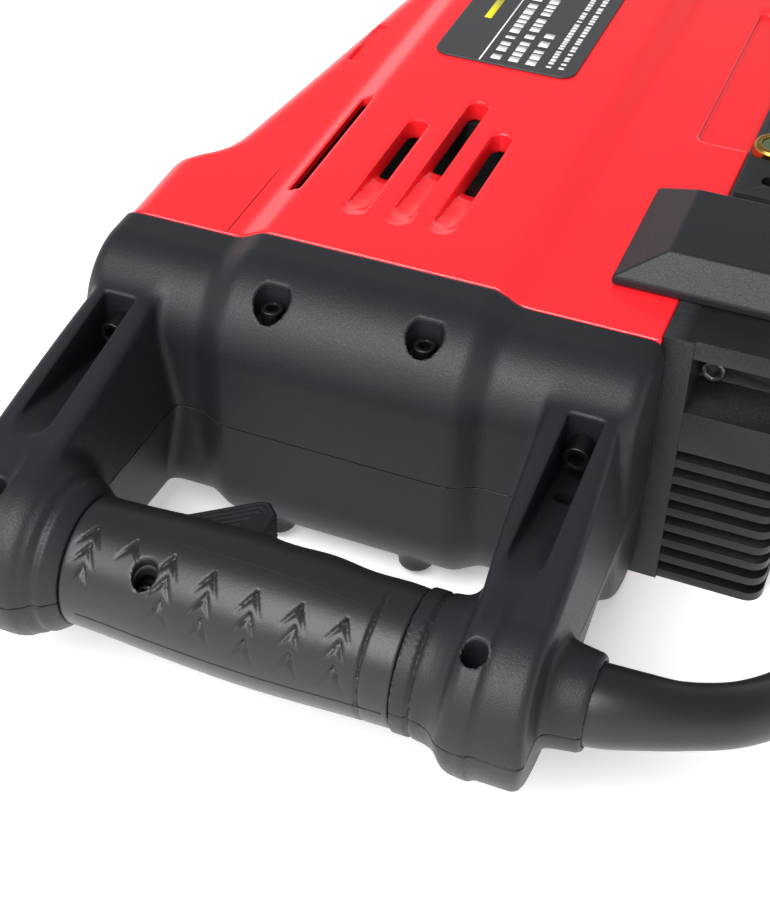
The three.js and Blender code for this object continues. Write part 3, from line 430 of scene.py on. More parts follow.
def softMax(a, b, reach):
    # max(a, b) + h^2 r / 4 with h = max(r - |a - b|, 0) / r, which rounds the corner over the reach r.
    h = np.maximum(reach - np.abs(a - b), 0) / reach
    return np.maximum(a, b) + h * h * reach / 4


def softMin(a, b, reach):
    return -softMax(-a, -b, reach)


def carve(field, tool, reach):
    return softMax(field, -tool, reach)


def box2(dx, dy, halfX, halfY, corner):
    # A rounded rectangle: |max(q, 0)| + min(max(qx, qy), 0) - corner, with q = |d| - half + corner.
    qx, qy = np.abs(dx) - halfX + corner, np.abs(dy) - halfY + corner
    return length(np.maximum(qx, 0), np.maximum(qy, 0)) + np.minimum(np.maximum(qx, qy), 0) - corner


def polygon(x, y, outline):
    # Distance to the nearest side of the outline, negative inside it.
    best, inside = None, None
    for (ax, ay), (bx, by) in zip(outline, outline[1:] + outline[:1]):
        ex, ey = bx - ax, by - ay
        px, py = x - ax, y - ay
        t = np.clip((px * ex + py * ey) / (ex * ex + ey * ey), 0, 1)
        d = length(px - ex * t, py - ey * t)
        crossed = ((ay > y) != (by > y)) & (px * ey - py * ex < 0 if ey > 0 else px * ey - py * ex > 0)
        best = d if best is None else np.minimum(best, d)
        inside = crossed if inside is None else inside ^ crossed
    return np.where(inside, -best, best)


def spaced(*runs):
    # A row of grid lines from (start, end, step) runs that follow on from each other.
    parts = [np.linspace(a, b, max(1, math.ceil((b - a) / step)), endpoint=False) for a, b, step in runs]
    return np.concatenate(parts + [[runs[-1][1]]])


def skin(field, xs, ys, zs):
    # The field's zero surface by surface nets: one point per crossed cell, at the mean of its edges'
    # crossings t = a / (a - b), then two steps down the field's slope; one quad per crossed edge.
    axes = [np.asarray(a, np.float32) for a in (xs, ys, zs)]
    x, y, z = np.meshgrid(*axes, indexing="ij", sparse=True)
    shape = tuple(len(a) for a in axes)
    value = np.array(np.broadcast_to(field(x, y, z), shape), np.float32)
    for axis in range(3):
        edge = np.moveaxis(value, axis, 0)
        edge[0] = np.maximum(edge[0], 0.01)
        edge[-1] = np.maximum(edge[-1], 0.01)
    value[value == 0] = 1e-6
    inside = value < 0
    cells = tuple(n - 1 for n in shape)
    count = np.zeros(math.prod(cells))
    total = np.zeros((3, math.prod(cells)))
    crossings = []
    for axis in range(3):
        first, second = [[slice(None)] * 3 for _ in range(2)]
        first[axis], second[axis] = slice(None, -1), slice(1, None)
        at = np.argwhere(inside[tuple(first)] != inside[tuple(second)])
        after = at.copy()
        after[:, axis] += 1
        a, b = value[tuple(at.T)], value[tuple(after.T)]
        place = np.stack([axes[k][at[:, k]] for k in range(3)]).astype(float)
        place[axis] += a / (a - b) * (axes[axis][after[:, axis]] - axes[axis][at[:, axis]])
        u, w = (axis + 1) % 3, (axis + 2) % 3
        around = []
        for du, dw in ((1, 1), (0, 1), (0, 0), (1, 0)):
            cell = at.copy()
            cell[:, u] -= du
            cell[:, w] -= dw
            flat = np.ravel_multi_index(tuple(cell.T), cells)
            around.append(flat)
            count += np.bincount(flat, minlength=len(count))
            for k in range(3):
                total[k] += np.bincount(flat, place[k], minlength=len(count))
        quads = np.stack(around, -1)
        quads[a > 0] = quads[a > 0][:, ::-1]
        crossings.append(quads)
    active = count > 0
    number = np.cumsum(active) - 1
    points = (total[:, active] / count[active]).T
    for _ in range(2):
        px, py, pz = points.T
        here = field(px, py, pz)
        reach = 0.05
        ahead = [field(px + reach, py, pz), field(px, py + reach, pz), field(px, py, pz + reach)]
        slope = (np.stack(ahead, -1) - here[:, None]) / reach
        size = np.maximum((slope ** 2).sum(-1), 0.2)
        step = -(here / size)[:, None] * slope
        points += np.clip(step, -0.35, 0.35)
    return points, [number[np.concatenate(crossings)]]


# Rear cover, in two shells that meet at Z = 0.

coverValues = {
    # half width, how far the middle band stands out, and where its two ramps start and end
    "side": 49.5, "rise": 4.5, "low": -42.2, "lowTop": -33.5, "highTop": 49.2, "high": 57.9,
    "rear": -35, "round": 25, "ends": (-90, 102), "endRound": 6, "wall": 3.5,
    "cell": 0.9, "fillet": 3.5,
    # the grip's axis, and the arms' half height there and at their roots
    "grip": -113, "armEnd": 28, "armRoot": 42, "armRootX": -24,
    "arms": [
        {"root": -73, "rootHalf": 19, "end": -79, "endHalf": 13.5, "slot": -75},
        {"root": 85.5, "rootHalf": 18, "end": 85, "endHalf": 15, "slot": 86},
    ],
    "slotHalf": 5.7, "slot": (-100, -34), "slotFloor": 18,  # the bolts' long pockets
    "holes": [(-126.5, 30.5, 6), (-126, -72, 8), (-120, 84, 8)],  # x, y and floor of the shell screws' holes
    "recesses": [(-27, 34), (-26, -18.5)],  # cover screws, in posts with a round socket on the left
    "post": 8.6, "socket": (6.2, 4.3, 50.5),
    "core": 18.5, "bore": 15.3, "cordX": -109, "cordBore": 12.7, "screwHole": 3.8, "boltHole": 3.4,
    "trigger": {"rear": -111, "front": -70, "low": 4, "high": 44.5, "half": 9.3},
    "lock": (50, 4.35),
}


def panelRise(y, v=coverValues):
    lowRamp = (y - v["low"]) / (v["lowTop"] - v["low"])
    highRamp = (v["high"] - y) / (v["high"] - v["highTop"])
    t = softMin(lowRamp, highRamp, 0.3)
    return v["rise"] * softMin(softMax(t, 0 * t, 0.25), 1 + 0 * t, 0.25)


def coverSection(x, y, z, inset, v=coverValues):
    rise = panelRise(y)
    corner = v["round"] + rise - inset
    dx = v["rear"] - rise + inset + corner - x
    dz = np.abs(z) - (v["side"] + rise - inset - corner)
    around = length(np.maximum(dx, 0), np.maximum(dz, 0)) + np.minimum(np.maximum(dx, dz), 0) - corner
    ends = np.maximum(v["ends"][0] + inset - y, y - v["ends"][1] + inset)
    return softMax(around, ends, v["endRound"])


def armField(x, y, z, arm, v=coverValues):
    slope = (v["armRoot"] - v["armEnd"]) / (v["armRootX"] - v["grip"])
    height = v["armEnd"] + (x - v["grip"]) * slope
    tall = np.where(x > v["grip"], (np.abs(z) - height) * math.cos(math.atan(slope)),
                    length(x - v["grip"], z) - v["armEnd"])
    share = np.clip((x - v["grip"]) / (v["armRootX"] - v["grip"]), 0, 1)
    centre = arm["end"] + (arm["root"] - arm["end"]) * share
    middle = arm["endHalf"] + (arm["rootHalf"] - arm["endHalf"]) * share
    face = (middle - 2) * (1 - share) + 11.2 * share
    wide = middle - (middle - face) * np.clip(np.abs(z) / (height - 3), 0, 1.15)
    return np.maximum(softMax(tall, np.abs(y - centre) - wide, 3.6), x + 8)


def collarField(x, y, z, keys, v=coverValues):
    around = length(x - v["grip"], z) - np.interp(y, [k[0] for k in keys], [k[1] for k in keys])
    return np.maximum(around * 0.94, np.maximum(keys[0][0] - y, y - keys[-1][0]))


lowCollar = [(-74, 27.5), (-70, 26.6), (-66.5, 23.6), (-64.5, 23.8), (-60, 22.6), (-56.6, 22.2),
             (-56.2, 21.4), (-55.4, 21.4), (-55, 22.2), (-50.2, 22.2)]
highCollar = [(57.8, 20.9), (60, 22.8), (62.5, 24.6), (64.5, 24.3), (66.5, 26.4), (70, 27.6), (78, 27.6)]
cordCollarAt = [79, 90, 92.5, 96, 102.6, 104]  # how far down, and the radii there
cordCollarRadii = [18.4, 17.8, 16.6, 15.8, 14.9, 14.2]


def cordCollar(x, y, z, v=coverValues):
    around = length(x - v["cordX"], z) - np.interp(-y, cordCollarAt, cordCollarRadii)
    return np.maximum(around * 0.97, np.maximum(-104 - y, y + 74))


def triggerWindow(x, y, z, v=coverValues["trigger"]):
    flat = np.maximum(np.maximum(v["rear"] - x, x - v["front"]), np.maximum(v["low"] - y, y - v["high"]))
    return np.maximum(np.abs(z) - v["half"], flat)


def outsideField(x, y, z, side, v):
    # Cover, arms, collars and grip core; the left shell's screw sockets stand out of its rounded edge.
    body = coverSection(x, y, z, 0)
    for arm in v["arms"]:
        body = softMin(body, armField(x, y, z, arm), v["fillet"])
    collars = softMin(collarField(x, y, z, lowCollar), collarField(x, y, z, highCollar), 1)
    body = softMin(body, collars, 5)
    body = softMin(body, cordCollar(x, y, z), 3)
    body = np.minimum(body, np.maximum(length(x - v["grip"], z) - v["core"], np.maximum(-60 - y, y - 66)))
    if side < 0:
        outer, end = v["socket"][0], v["socket"][2]
        for cx, cy in v["recesses"]:
            along = np.abs(np.abs(z) - 44) - end + 44
            body = softMin(body, softMax(length(x - cx, y - cy) - outer, along, 1), 1.5)
    return np.maximum(body, x + 0.4)


def hollowField(x, y, z, v):
    # The room inside the cover, less the posts that hold the cover screws.
    hollow = coverSection(x, y, z, v["wall"])
    for cx, cy in v["recesses"]:
        hollow = np.maximum(hollow, v["post"] - length(x - cx, y - cy))
    return hollow


def boltPocket(body, x, y, z, arm, v):
    # A long pocket along the arm, floor = a slope and a shallow trough, with the bolt's hole at its end.
    rear, front = v["slot"]
    slope = (v["slotFloor"] - 29) / (front - rear)
    flat = box2(x - sum(v["slot"]) / 2, y - arm["slot"], (front - rear) / 2, v["slotHalf"], 1.2)
    floor = v["slotFloor"] + slope * (x - front) + 1.2 * np.clip((-70 - x) / 30, 0, 1)
    trough = floor + 0.06 * (y - arm["slot"]) ** 2 * np.clip((-50 - x) / 30, 0, 1)
    body = carve(body, softMax(flat, trough - np.abs(z), 1.5), 1.0)
    reach = np.maximum(12 - np.abs(z), np.abs(z) - 40)
    return np.maximum(body, -np.maximum(length(x + 51, y - arm["slot"]) - v["boltHole"], reach))


def coverRecess(body, x, y, z, side, place, v):
    # Right: a bore with its forward side cut flat. Left: a round socket. A shank hole runs through both.
    across = length(x - place[0], y - place[1])
    flat = np.maximum(across - 6, x - place[0] - 4.8) if side > 0 else across - v["socket"][1]
    body = carve(body, np.maximum(flat, 39.5 - np.abs(z)), 0.7)
    return np.maximum(body, -np.maximum(across - 2.2, 5 - np.abs(z)))


def shellField(side, v=coverValues):
    def field(x, y, z):
        body = np.maximum(outsideField(x, y, z, side, v), -hollowField(x, y, z, v))
        bay = np.maximum(length(x - v["grip"], z) - v["bore"], np.maximum(-42 - y, y - 54))
        body = np.maximum(body, -np.minimum(bay, triggerWindow(x, y, z)))
        body = np.maximum(body, -np.maximum(length(x - v["cordX"], z) - v["cordBore"], y + 85))
        for arm in v["arms"]:
            body = boltPocket(body, x, y, z, arm, v)
        for place in v["recesses"]:
            body = coverRecess(body, x, y, z, side, place, v)
        if side > 0:
            for cx, cy, floor in v["holes"]:
                body = carve(body, np.maximum(length(x - cx, y - cy) - v["screwHole"], floor - z), 0.6)
        else:
            lock = length(x - v["grip"], y - v["lock"][0]) - v["lock"][1]
            body = np.maximum(body, -np.maximum(lock, np.maximum(-30 - z, z)))
        return np.maximum(body, 0.15 - side * z)
    return field


def makeShell(side, name, node):
    cell = coverValues["cell"]
    # The grid is finer where the bolt pockets and the screws' recesses have their edges.
    xs = spaced((-142.5, -132, 1), (-132, -114, 0.6), (-114, -35, cell), (-35, -19, 0.6), (-19, 0.6, 1))
    ys = spaced((-106, -77.5, cell), (-77.5, -66.5, 0.6), (-66.5, -25, 1), (-25, -12, 0.6),
                (-12, 27, 1.05), (27, 41, 0.6), (41, 78, 1), (78, 90, 0.6), (90, 104, cell))
    zs = spaced((-0.15, 0.45, 0.15), (0.45, 55.8, 0.95))
    if side < 0:
        zs = -zs[::-1]
    shell = addMesh(name, skin(shellField(side), xs, ys, zs), sharp=55)
    return finish(shell, blackNylon, "black_plastic", node)


makeShell(1, "cover_half_right", "rear_shell_right")
makeShell(-1, "cover_half_left", "rear_shell_left")
print("rear cover made")

gripValues = {
    "centre": -113, "low": -49.5, "high": 57.5, "inner": 18.9, "cell": 0.62,
    "columns": [50.4, 36.6, 23.3, 9.6, -4.8, -18.8, -32.7],  # arrowheads along the grip
    "rows": [(9, 24), (26, 41), (44, 61)],  # degrees from the top of the grip at its two ends
    "spread": 83, "bareColumn": 36.6,  # this column has its first arrowhead only, beside a screw
    "arcRadius": 22.4, "depth": 1.5, "groove": -41.2,
    "screwHole": (-126.5, 30.5, 3.9), "lock": (50, 4.4),
}


def gripRadius(y):
    swell = 1.5 * np.cos((y + 2) / 107 * math.pi) ** 2
    return 21.4 + swell - np.maximum(y - 30, 0) * 0.03


def scoopDepth(arc, y, v=gripValues):
    # Arrowheads pressed into the sleeve: with u along the arc and w across it, both from the tip,
    # w < 0.5 u outside and u < 4.9 + 1.1 w inside. They are deepest at the tip.
    depth = 0 * arc
    for column in v["columns"]:
        share = (v["columns"][0] - column) / v["spread"]
        for row, (first, last) in enumerate(v["rows"]):
            if column == v["bareColumn"] and row > 0:
                continue
            tip = math.radians(first + (last - first) * min(1, share * 1.5)) * v["arcRadius"]
            u, w = arc - tip, np.abs(y - column - 0.09 * (arc - tip))
            outer = np.clip((0.5 * u - w) * 1.8, 0, 1)
            ramp = np.clip((4.9 + 1.1 * w - u) / 4.4, 0, 1) * np.clip(9.4 - u, 0, 1)
            depth = np.maximum(depth, v["depth"] * outer * ramp)
    return depth


def gripField(x, y, z, v=gripValues):
    out = length(x - v["centre"], z)
    angle = np.arctan2(v["centre"] - x, z)
    radius = gripRadius(y) - scoopDepth(angle * v["arcRadius"], y)
    inner = np.clip(-np.sin(angle), 0, 1) ** 2
    wave = 0.5 - 0.5 * np.cos((y + 44) * math.tau / 26)  # finger swells on the inner side
    radius = radius - 1.2 * inner * wave * np.clip((6 - y) / 6, 0, 1)
    groove = np.clip(1 - np.abs(y - v["groove"] - 1.4 * np.cos(angle - 0.9)) / 0.9, 0, 1)
    radius = radius - 0.9 * groove * np.clip((angle + 0.4) * 2, 0, 1)
    tube = softMax(out - radius, np.maximum(v["low"] - 0.4 - y, y - v["high"]), 0.9)
    tube = np.maximum(np.maximum(tube, v["inner"] - out), -triggerWindow(x, y, z))
    holeX, holeY, holeRadius = v["screwHole"]
    hole = np.maximum(length(x - holeX, y - holeY) - holeRadius, -z)
    lock = np.maximum(length(x - v["centre"], y - v["lock"][0]) - v["lock"][1], z)
    return carve(carve(tube, hole, 0.5), lock, 0.5)


step = gripValues["cell"]
gripGrid = [spaced(run) for run in ((-138, -88.5, step), (-50.4, 58.4, step), (-24.6, 24.6, step))]
grip = addMesh("grip_overmould", skin(gripField, *gripGrid), sharp=50)
finish(grip, softTouch, "soft_grip", "grip_sleeve")

triggerValues = {
    "outline": [(-101, 43), (-94, 43), (-91.2, 36), (-76.5, 17), (-75.5, 13.5), (-80, 9), (-101, 9)],
    "half": 8.6, "ribPitch": 1.7, "ribDepth": 0.35, "pivot": (-98, 39), "pivotHole": 1.6,
}


def triggerField(x, y, z, v=triggerValues):
    ribs = v["ribDepth"] * (0.5 + 0.5 * np.cos(z * math.tau / v["ribPitch"])) * np.clip((x + 93) / 3, 0, 1)
    inside = polygon(x, y, v["outline"])
    lines = 0.3 * (0.5 + 0.5 * np.cos(inside * math.tau / 1.9)) * np.clip(-inside - 1, 0, 1) * (x > -92)
    body = softMax(inside + ribs, np.abs(z) - v["half"] + lines, 1.2)
    return np.maximum(body, v["pivotHole"] - length(x - v["pivot"][0], y - v["pivot"][1]))


trigger = addMesh("ribbed_trigger", skin(
    triggerField, spaced((-102, -71, 0.5)), spaced((8, 44, 0.5)), spaced((-9.5, 9.5, 0.34))), sharp=50)
finish(trigger, blackNylon, "black_plastic", "trigger")

buttonProfile = rounded([(0, 0), (4, 0), (4, 13.5), (3.4, 14.5), (0, 14.5)], 0.6)
button = addMesh("lock_cap", revolve(buttonProfile, (-113, 50, -9.5), (0, 0, -1), 40))
finish(tidy(button), redAbs, "red_housing", "lock_button")

# The sleeve's two fine joints, as dark lines just proud of its surface: y where each starts, how far it
# runs, degrees from the top of the grip and how far it turns.
gripJoints = {"grip_joint_upper": (24, -62, 7.5, 5), "grip_joint_lower": (52, -100, 96, 0)}
t = np.linspace(0, 1, 60)
for name, (start, run, degrees, turn) in gripJoints.items():
    ys = start + run * t
    angle = np.radians(degrees + turn * t ** 3)
    radius = gripRadius(ys) + 0.02
    line = np.stack([gripValues["centre"] - radius * np.sin(angle), ys, radius * np.cos(angle)], -1)
    finish(addMesh(name, sweep(line, 0.17, 8)), jointShadow, "soft_grip", body="housing")
print("grip made")

hexScrews = {
    # head radius, head length, shank radius, shank length, width of the key
    "arm_bolt": (4.5, 8, 2.5, 30, 5.0),
    "cover_screw": (3.7, 5.4, 2, 30, 3.9),
    "shell_screw": (3.3, 3, 1.5, 15, 3.0),
    "flange_bolt": (6.5, 8, 4, 13, 7.0),
    "case_screw": (4, 6, 2, 14, 4.2),
}


def screwShape(at, direction, head, tall, shank, reach, key):
    # A round head on a shank, with a hexagonal key hole in its top.
    outer = [(0, -reach), (shank, -reach), (shank, 0), (head, 0), (head, tall), (key * 0.68, tall)]
    inner = [(key / 2, tall - 0.35), (key / 2, tall * 0.45), (0, tall * 0.45)]
    outer = rounded(outer, 0.7)
    return revolve(np.vstack([outer, inner]), at, direction, 48, hexFrom=len(outer), hexAcross=key)


screws = {}
number = 0
for arm in coverValues["arms"]:
    for side in (1, -1):
        number += 1
        screws[f"arm_bolt_{number}"] = ((-34.3, arm["slot"], 29 * side), (-1, 0, 0))
for i, (x, y) in enumerate(coverValues["recesses"]):
    screws[f"cover_screw_{2 * i + 1}"] = ((x, y, 39.8), (0, 0, 1))
    screws[f"cover_screw_{2 * i + 2}"] = ((x, y, -39.8), (0, 0, -1))
for name, (x, y, floor) in zip(("grip", "low", "high"), coverValues["holes"]):
    screws[f"shell_screw_{name}"] = ((x, y, floor + 0.3), (0, 0, 1))
for i, (y, z) in enumerate([(-127, 38), (-127, -38), (67, 38), (67, -38)]):
    screws[f"flange_bolt_{i + 1}"] = ((276.6, y, z), (1, 0, 0))
screws["case_screw"] = ((23.7, -103.3, 28.5), (-1, 0, 0))
for node, (at, direction) in screws.items():
    kind = node.rsplit("_", 1)[0] if node != "case_screw" else node
    screw = tidy(addMesh(node + "_socket", screwShape(at, direction, *hexScrews[kind])))
    screw.data.set_sharp_from_angle(angle=math.radians(35))
    grey = slotOf[node] == "grey_steel"
    finish(screw, turnedSteel if grey else blackOxide, slotOf[node], node)
print("screws made")

housingValues = {
    "wall": 4, "low": -88, "length": 262, "corner": 8.5,
    "edgeX": [-5, 0, 34, 38, 42, 47, 52, 58, 66, 120, 190, 202, 270],
    "edgeY": [102.5, 102.5, 103, 102.4, 99.4, 94.6, 91.2, 89, 87.6, 81.1, 73, 72.9, 73],
    "vents": [(27, 22, 88.4), (10.8, 22, 109), (-4.6, 22.8, 91)],  # y, and x at the two ends
    "ventHalf": 3.8,
    "ventShares": [0, 0.05, 0.1, 0.2, 0.32, 0.42, 0.5, 0.56, 1],
    "ventFloor": [53.7, 52.9, 52, 51, 50.3, 49.4, 47.4, 44.5, 43],
}


def housingSection(x, y, z, inset, v=housingValues):
    top = np.interp(x, v["edgeX"], v["edgeY"]) - inset
    corner = max(v["corner"] - inset, 1)
    dy = y - (top - corner)
    dz = np.abs(z) - (coverValues["side"] + panelRise(y) - inset - corner)
    return length(np.maximum(dy, 0), np.maximum(dz, 0)) + np.minimum(np.maximum(dy, dz), 0) - corner


def housingField(x, y, z, v=housingValues):
    ends = np.maximum(-x, x - v["length"])
    body = softMax(housingSection(x, y, z, 0), ends, 1.2)
    body = softMax(body, v["low"] - y, 1.0)
    body = np.maximum(body, -housingSection(x, y, z, v["wall"]))
    ribs = np.maximum(box2(x - 66, y - 11.5, 48, 22.5, 2), np.abs(z - 48.8) - 3.1)
    body = np.minimum(body, ribs)
    for cy, x0, x1 in v["vents"]:
        flat = box2(x - (x0 + x1) / 2, y - cy, (x1 - x0) / 2, v["ventHalf"], 3.4)
        t = np.clip((x - x0) / (x1 - x0), 0, 1)
        dish = np.interp(t, v["ventShares"], v["ventFloor"]) + 0.05 * (y - cy) ** 2
        body = carve(body, np.maximum(flat, (dish - z) * 0.9), 1.0)
    slot = box2(x - 63.5, y - 51.4, 34.5, 2.3, 1.6)
    body = carve(body, np.maximum(slot, 44 - z), 0.5)
    low = np.maximum(box2(x - 177.25, y + 90, 54.75, 21.7, 4), 47.3 - z)
    body = carve(body, low, 0.9)
    window = np.maximum(box2(x - 143.5, y - 69.75, 16.5, 2.4, 0.6), 47.9 - z)
    return carve(body, window, 0.4)


columns = spaced((-1, 3, 0.8), (3, 18, 3), (18, 112, 1.05), (112, 120, 2.4), (120, 164, 1.1), (164, 258, 4),
                 (258, 263, 0.9))
rowsY = spaced((-89.2, -85, 1), (-85, -72, 2.6), (-72, -66, 1), (-66, -44, 3.4), (-44, -32, 1.5),
               (-32, -10, 3.4), (-10, 34, 1.0), (34, 48, 2), (48, 59, 0.9), (59, 66, 1.8), (66, 73, 0.8),
               (73, 104.5, 1.9))
rowsZ = spaced((-55.5, -43, 1.4), (-43, 43, 4.5), (43, 55.3, 0.9))
housing = addMesh("red_shell", skin(housingField, columns, rowsY, rowsZ), sharp=50)
finish(housing, redAbs, "red_housing", "motor_housing")

# A fine joint runs along the rear of the upper side zone.
t = np.linspace(0, 1, 24)
seamLine = np.stack([0.6 + 46 * t, 63.5 + 0 * t, 49.5 + 0.01 - 0.2 * t ** 4], -1)
seam = addMesh("red_joint_line", sweep(seamLine, 0.2, 8))
finish(seam, redJoint, "red_housing", body="housing")
print("red housing made")

labelValues = {
    "top": 54.95, "proud": 0.06,
    # y, height, and x where each line starts and ends
    "lines": [(14.6, 3.9, 140.5, 224), (7.6, 3.9, 141, 224), (0.6, 3.9, 141, 170), (-5.6, 2.1, 142, 222),
              (-10.4, 2.1, 142.5, 222)],
    "rule": (137.6, 228.4, 21.6, 22.2),
    "mark": (171, 192, 28.6, 31.6),
}


def flatBox(x0, x1, y0, y1, z0, z1):
    xs, ys, zs = np.meshgrid([x0, x1], [y0, y1], [z0, z1], indexing="ij")
    points = np.stack([xs.ravel(), ys.ravel(), zs.ravel()], -1)
    faces = np.array([[0, 1, 3, 2], [4, 6, 7, 5], [0, 4, 5, 1], [2, 3, 7, 6], [0, 2, 6, 4], [1, 5, 7, 3]])
    return points, [faces]


def printed(x0, x1, y0, y1, v=labelValues):
    return flatBox(x0, x1, y0, y1, v["top"], v["top"] + v["proud"])


def labelBars(v, rng):
    # Plain bars of random length stand where a rating plate has its lines.
    bars = []
    for y, tall, first, last in v["lines"]:
        x = first
        while x < last - 3:
            run = rng.uniform(1.4, 3.2) * tall / 2.6
            bars.append(printed(x, min(x + run, last), y, y + tall))
            x += run + (0.75 if rng.uniform() < 0.8 else 2.6) * tall / 3.4
    return bars + [printed(*v["rule"])]


labelInk = addMesh("label_print", *labelBars(labelValues, np.random.default_rng(7)))
finish(labelInk, whiteInk, "label_film", body="housing")
labelMark = addMesh("label_mark", printed(*labelValues["mark"]))
finish(labelMark, yellowInk, "label_film", body="housing")
print("label made")


def finishCopy(node, width, segments=3, angle=30):
    # The CAD node's shape with doubles joined, flat faces merged and its edges rounded.
    mesh = nodes[node].data.copy()
    mesh.name = node + "_finished"
    obj = bpy.data.objects.new(node + "_finished", mesh)
    scene.collection.objects.link(obj)
    bm = bmesh.new()
    bm.from_mesh(mesh)
    bmesh.ops.remove_doubles(bm, verts=bm.verts, dist=1e-6)
    bmesh.ops.dissolve_limit(bm, angle_limit=math.radians(1), verts=bm.verts, edges=bm.edges)
    bm.to_mesh(mesh)
    bm.free()
    mesh.shade_smooth()
    mesh.set_sharp_from_angle(angle=math.radians(angle))
    bevel = obj.modifiers.new("edges", "BEVEL")
    bevel.width = width * 0.001
    bevel.segments = segments
    bevel.limit_method = "ANGLE"
    bevel.angle_limit = math.radians(angle)
    bevel.harden_normals = True
    bevel.use_clamp_overlap = True
    return finish(obj, slotMaterials[slotOf[node]], slotOf[node], node)


finishCopy("crank_case", 0.7)
finishCopy("crank_cover", 0.9)
finishCopy("front_housing", 0.8, angle=38)
finishCopy("side_clamp", 1.0)
finishCopy("tool_latch", 0.8)
finishCopy("tool_holder", 0.6, angle=38)
finishCopy("label_plate", 0.25)
finishCopy("plug_body", 2.2)
for node in ("plug_blade_low", "plug_blade_high", "plug_pin"):
    finishCopy(node, 0.3, segments=2)

frontValues = {
    "handleAt": (352, 0, 0), "handleWay": (0, 1, 0),
    "noseAt": (0, -72, 0), "nose": [(31.3, 400.3), (44, 400.3), (44, 414), (31.3, 414)],
    "stem": [(0, -10), (5, -10), (5, -3.7), (13, -3.7), (13, 2), (7, 4), (7, 108), (0, 108)],
    "gripCollar": [(7.3, 4.3), (21, 4.3), (21, 9.3), (16.2, 15.5), (16, 20)],
    "gripEnd": [(16.2, 98), (19, 108), (17, 114), (0, 114)],
    "gripRadius": 16.3, "swell": 1.0, "ribDepth": 0.55, "ribPitch": 6,
}


def makeNose(v):
    nose = revolve(rounded(v["nose"], 2.4, closed=True), v["noseAt"], (1, 0, 0), 96, closed=True)
    finish(tidy(addMesh("nose_cushion", nose, sharp=40)), softTouch, "soft_grip", "nose_ring")


def makeSideHandle(v):
    stem = revolve(rounded(v["stem"], 0.6), v["handleAt"], v["handleWay"], 64)
    finish(tidy(addMesh("stem_turned", stem, sharp=35)), groundSteel, "bright_steel", "side_stem")
    along = np.linspace(22, 96, 90)
    swell = v["swell"] * np.sin((along - 22) / 74 * math.pi)
    ribs = v["ribDepth"] * (0.5 + 0.5 * np.cos(along * math.tau / v["ribPitch"])) ** 3
    body = np.stack([v["gripRadius"] + swell - ribs, along], -1)
    bore = [(0, 108.3), (7.3, 108.3)]
    outline = np.vstack([rounded(v["gripCollar"], 2.0), body, rounded(v["gripEnd"], 3), bore])
    shape = revolve(outline, v["handleAt"], v["handleWay"], 96, closed=True)
    finish(tidy(addMesh("side_grip_ribbed", shape, sharp=40)), softTouch, "soft_grip", "side_grip")


makeNose(frontValues)
makeSideHandle(frontValues)

# Oil sight: a brass ring with a glass disc in it.
sightValues = {
    "at": (121, -97.3, 50.3),
    "ring": [(0, -8), (6, -8), (6, 0), (8, 0), (8, 4.5), (7, 5.5), (5.2, 5.5), (5.2, 4.1), (0, 4.1)],
    "glass": [(0, 4.2), (5.0, 4.2), (5.0, 4.8), (0, 5.1)],
}
ring = revolve(rounded(sightValues["ring"], 0.5), sightValues["at"], (0, 0, 1), 48)
finish(tidy(addMesh("sight_ring", ring, sharp=35)), turnedBrass, "brass_parts", "oil_sight")
glass = revolve(rounded(sightValues["glass"], 0.2), sightValues["at"], (0, 0, 1), 48)
finish(tidy(addMesh("sight_window", glass)), sightGlass, "brass_parts", body="housing")

finish(cord, cordPvc, "cord_rubber", "cord", "cord_coil")
finish(guard, cordPvc, "cord_rubber", "cord_guard")
print("pieces made")

stageValues = {
    "floor": "#FFFFFF", "floorGlow": 0.34, "floorHalf": 4000, "floorZ": -54.05,
    "horizon": 1.05, "above": 0.3, "behind": 0.5,  # brightness of the surroundings, by direction
    "lampAt": (-900, 250, 1150), "lampAim": (-20, 0, 20), "lampSize": 1.1, "lampPower": 30,
}


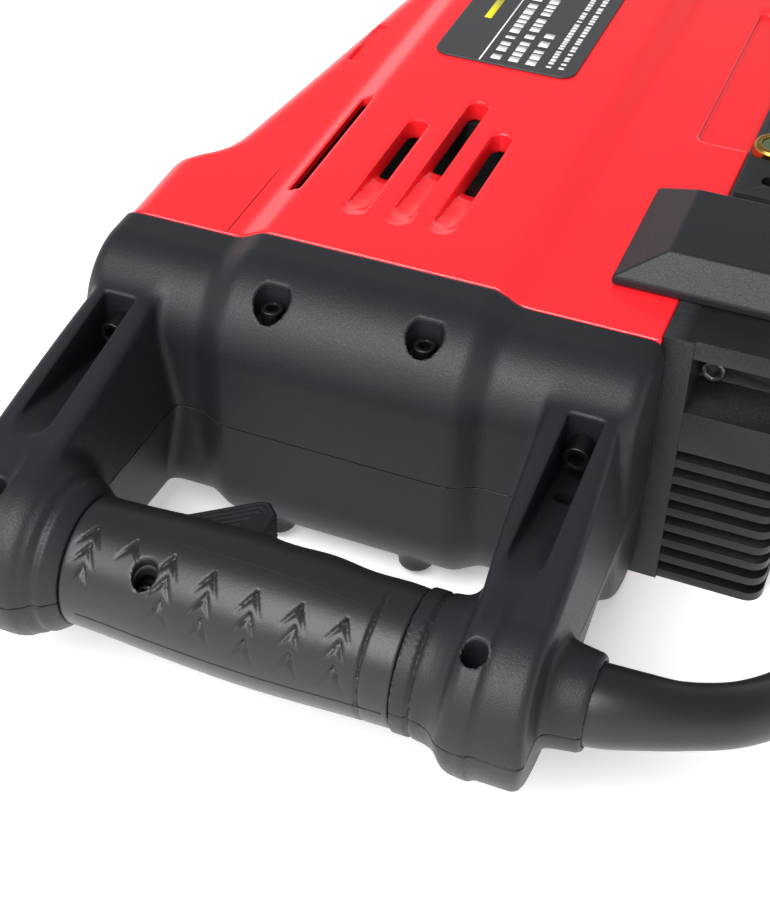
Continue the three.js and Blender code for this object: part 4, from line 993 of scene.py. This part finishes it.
def makeFloor(v):
    half, z = v["floorHalf"], v["floorZ"]
    points = [(-half, -half, z), (half, -half, z), (half, half, z), (-half, half, z)]
    floor = addMesh("floor", (points, [np.array([[0, 1, 2, 3]])]))
    material = bpy.data.materials.new("white_paper_floor")
    material.use_nodes = True
    tree = material.node_tree
    shader = tree.nodes["Principled BSDF"]
    place = addNode(tree, "TexCoord").outputs["Object"]
    noise = addNode(tree, "TexNoise", {"Vector": place, "Scale": 40.0})
    ramp = addNode(tree, "MapRange", {"Value": noise.outputs["Fac"], "To Min": 0.85, "To Max": 0.95})
    tree.links.new(ramp.outputs["Result"], shader.inputs["Roughness"])
    shader.inputs["Base Color"].default_value = linear(v["floor"])
    shader.inputs["Specular IOR Level"].default_value = 0.0
    shader.inputs["Emission Color"].default_value = (1, 1, 1, 1)
    shader.inputs["Emission Strength"].default_value = v["floorGlow"]
    floor.data.materials.append(material)


def makeLight(v):
    world = bpy.data.worlds.new("studio")
    scene.world = world
    world.use_nodes = True
    tree = world.node_tree
    background = tree.nodes["Background"]
    parts = addNode(tree, "SeparateXYZ", {0: addNode(tree, "TexCoord").outputs["Generated"]})
    high = addNode(tree, "MapRange", {
        "Value": parts.outputs["Z"], "From Min": 0.12, "From Max": 0.5,
        "To Min": v["horizon"], "To Max": v["above"]}, interpolation_type="SMOOTHSTEP")
    back = addNode(tree, "MapRange", {
        "Value": parts.outputs["X"], "From Min": 0.1, "From Max": -0.8,
        "To Min": 0.0, "To Max": v["behind"]}, interpolation_type="SMOOTHSTEP")
    total = addNode(tree, "Math", {0: high.outputs["Result"], 1: back.outputs["Result"]}, operation="ADD")
    tree.links.new(total.outputs["Value"], background.inputs["Strength"])
    background.inputs["Color"].default_value = (0.97, 0.98, 1, 1)
    lamp = bpy.data.lights.new("softbox", "AREA")
    lamp.shape = "SQUARE"
    lamp.size = v["lampSize"]
    lamp.energy = v["lampPower"]
    holder = bpy.data.objects.new("softbox", lamp)
    place, aim = (Vector(toFrame(v[k])) for k in ("lampAt", "lampAim"))
    turn = (aim - place).to_track_quat("-Z", "Y").to_matrix().to_4x4()
    holder.matrix_world = Matrix.Translation(place) @ turn
    scene.collection.objects.link(holder)


makeFloor(stageValues)
makeLight(stageValues)
scene.view_settings.view_transform = "Standard"
print("stage made")
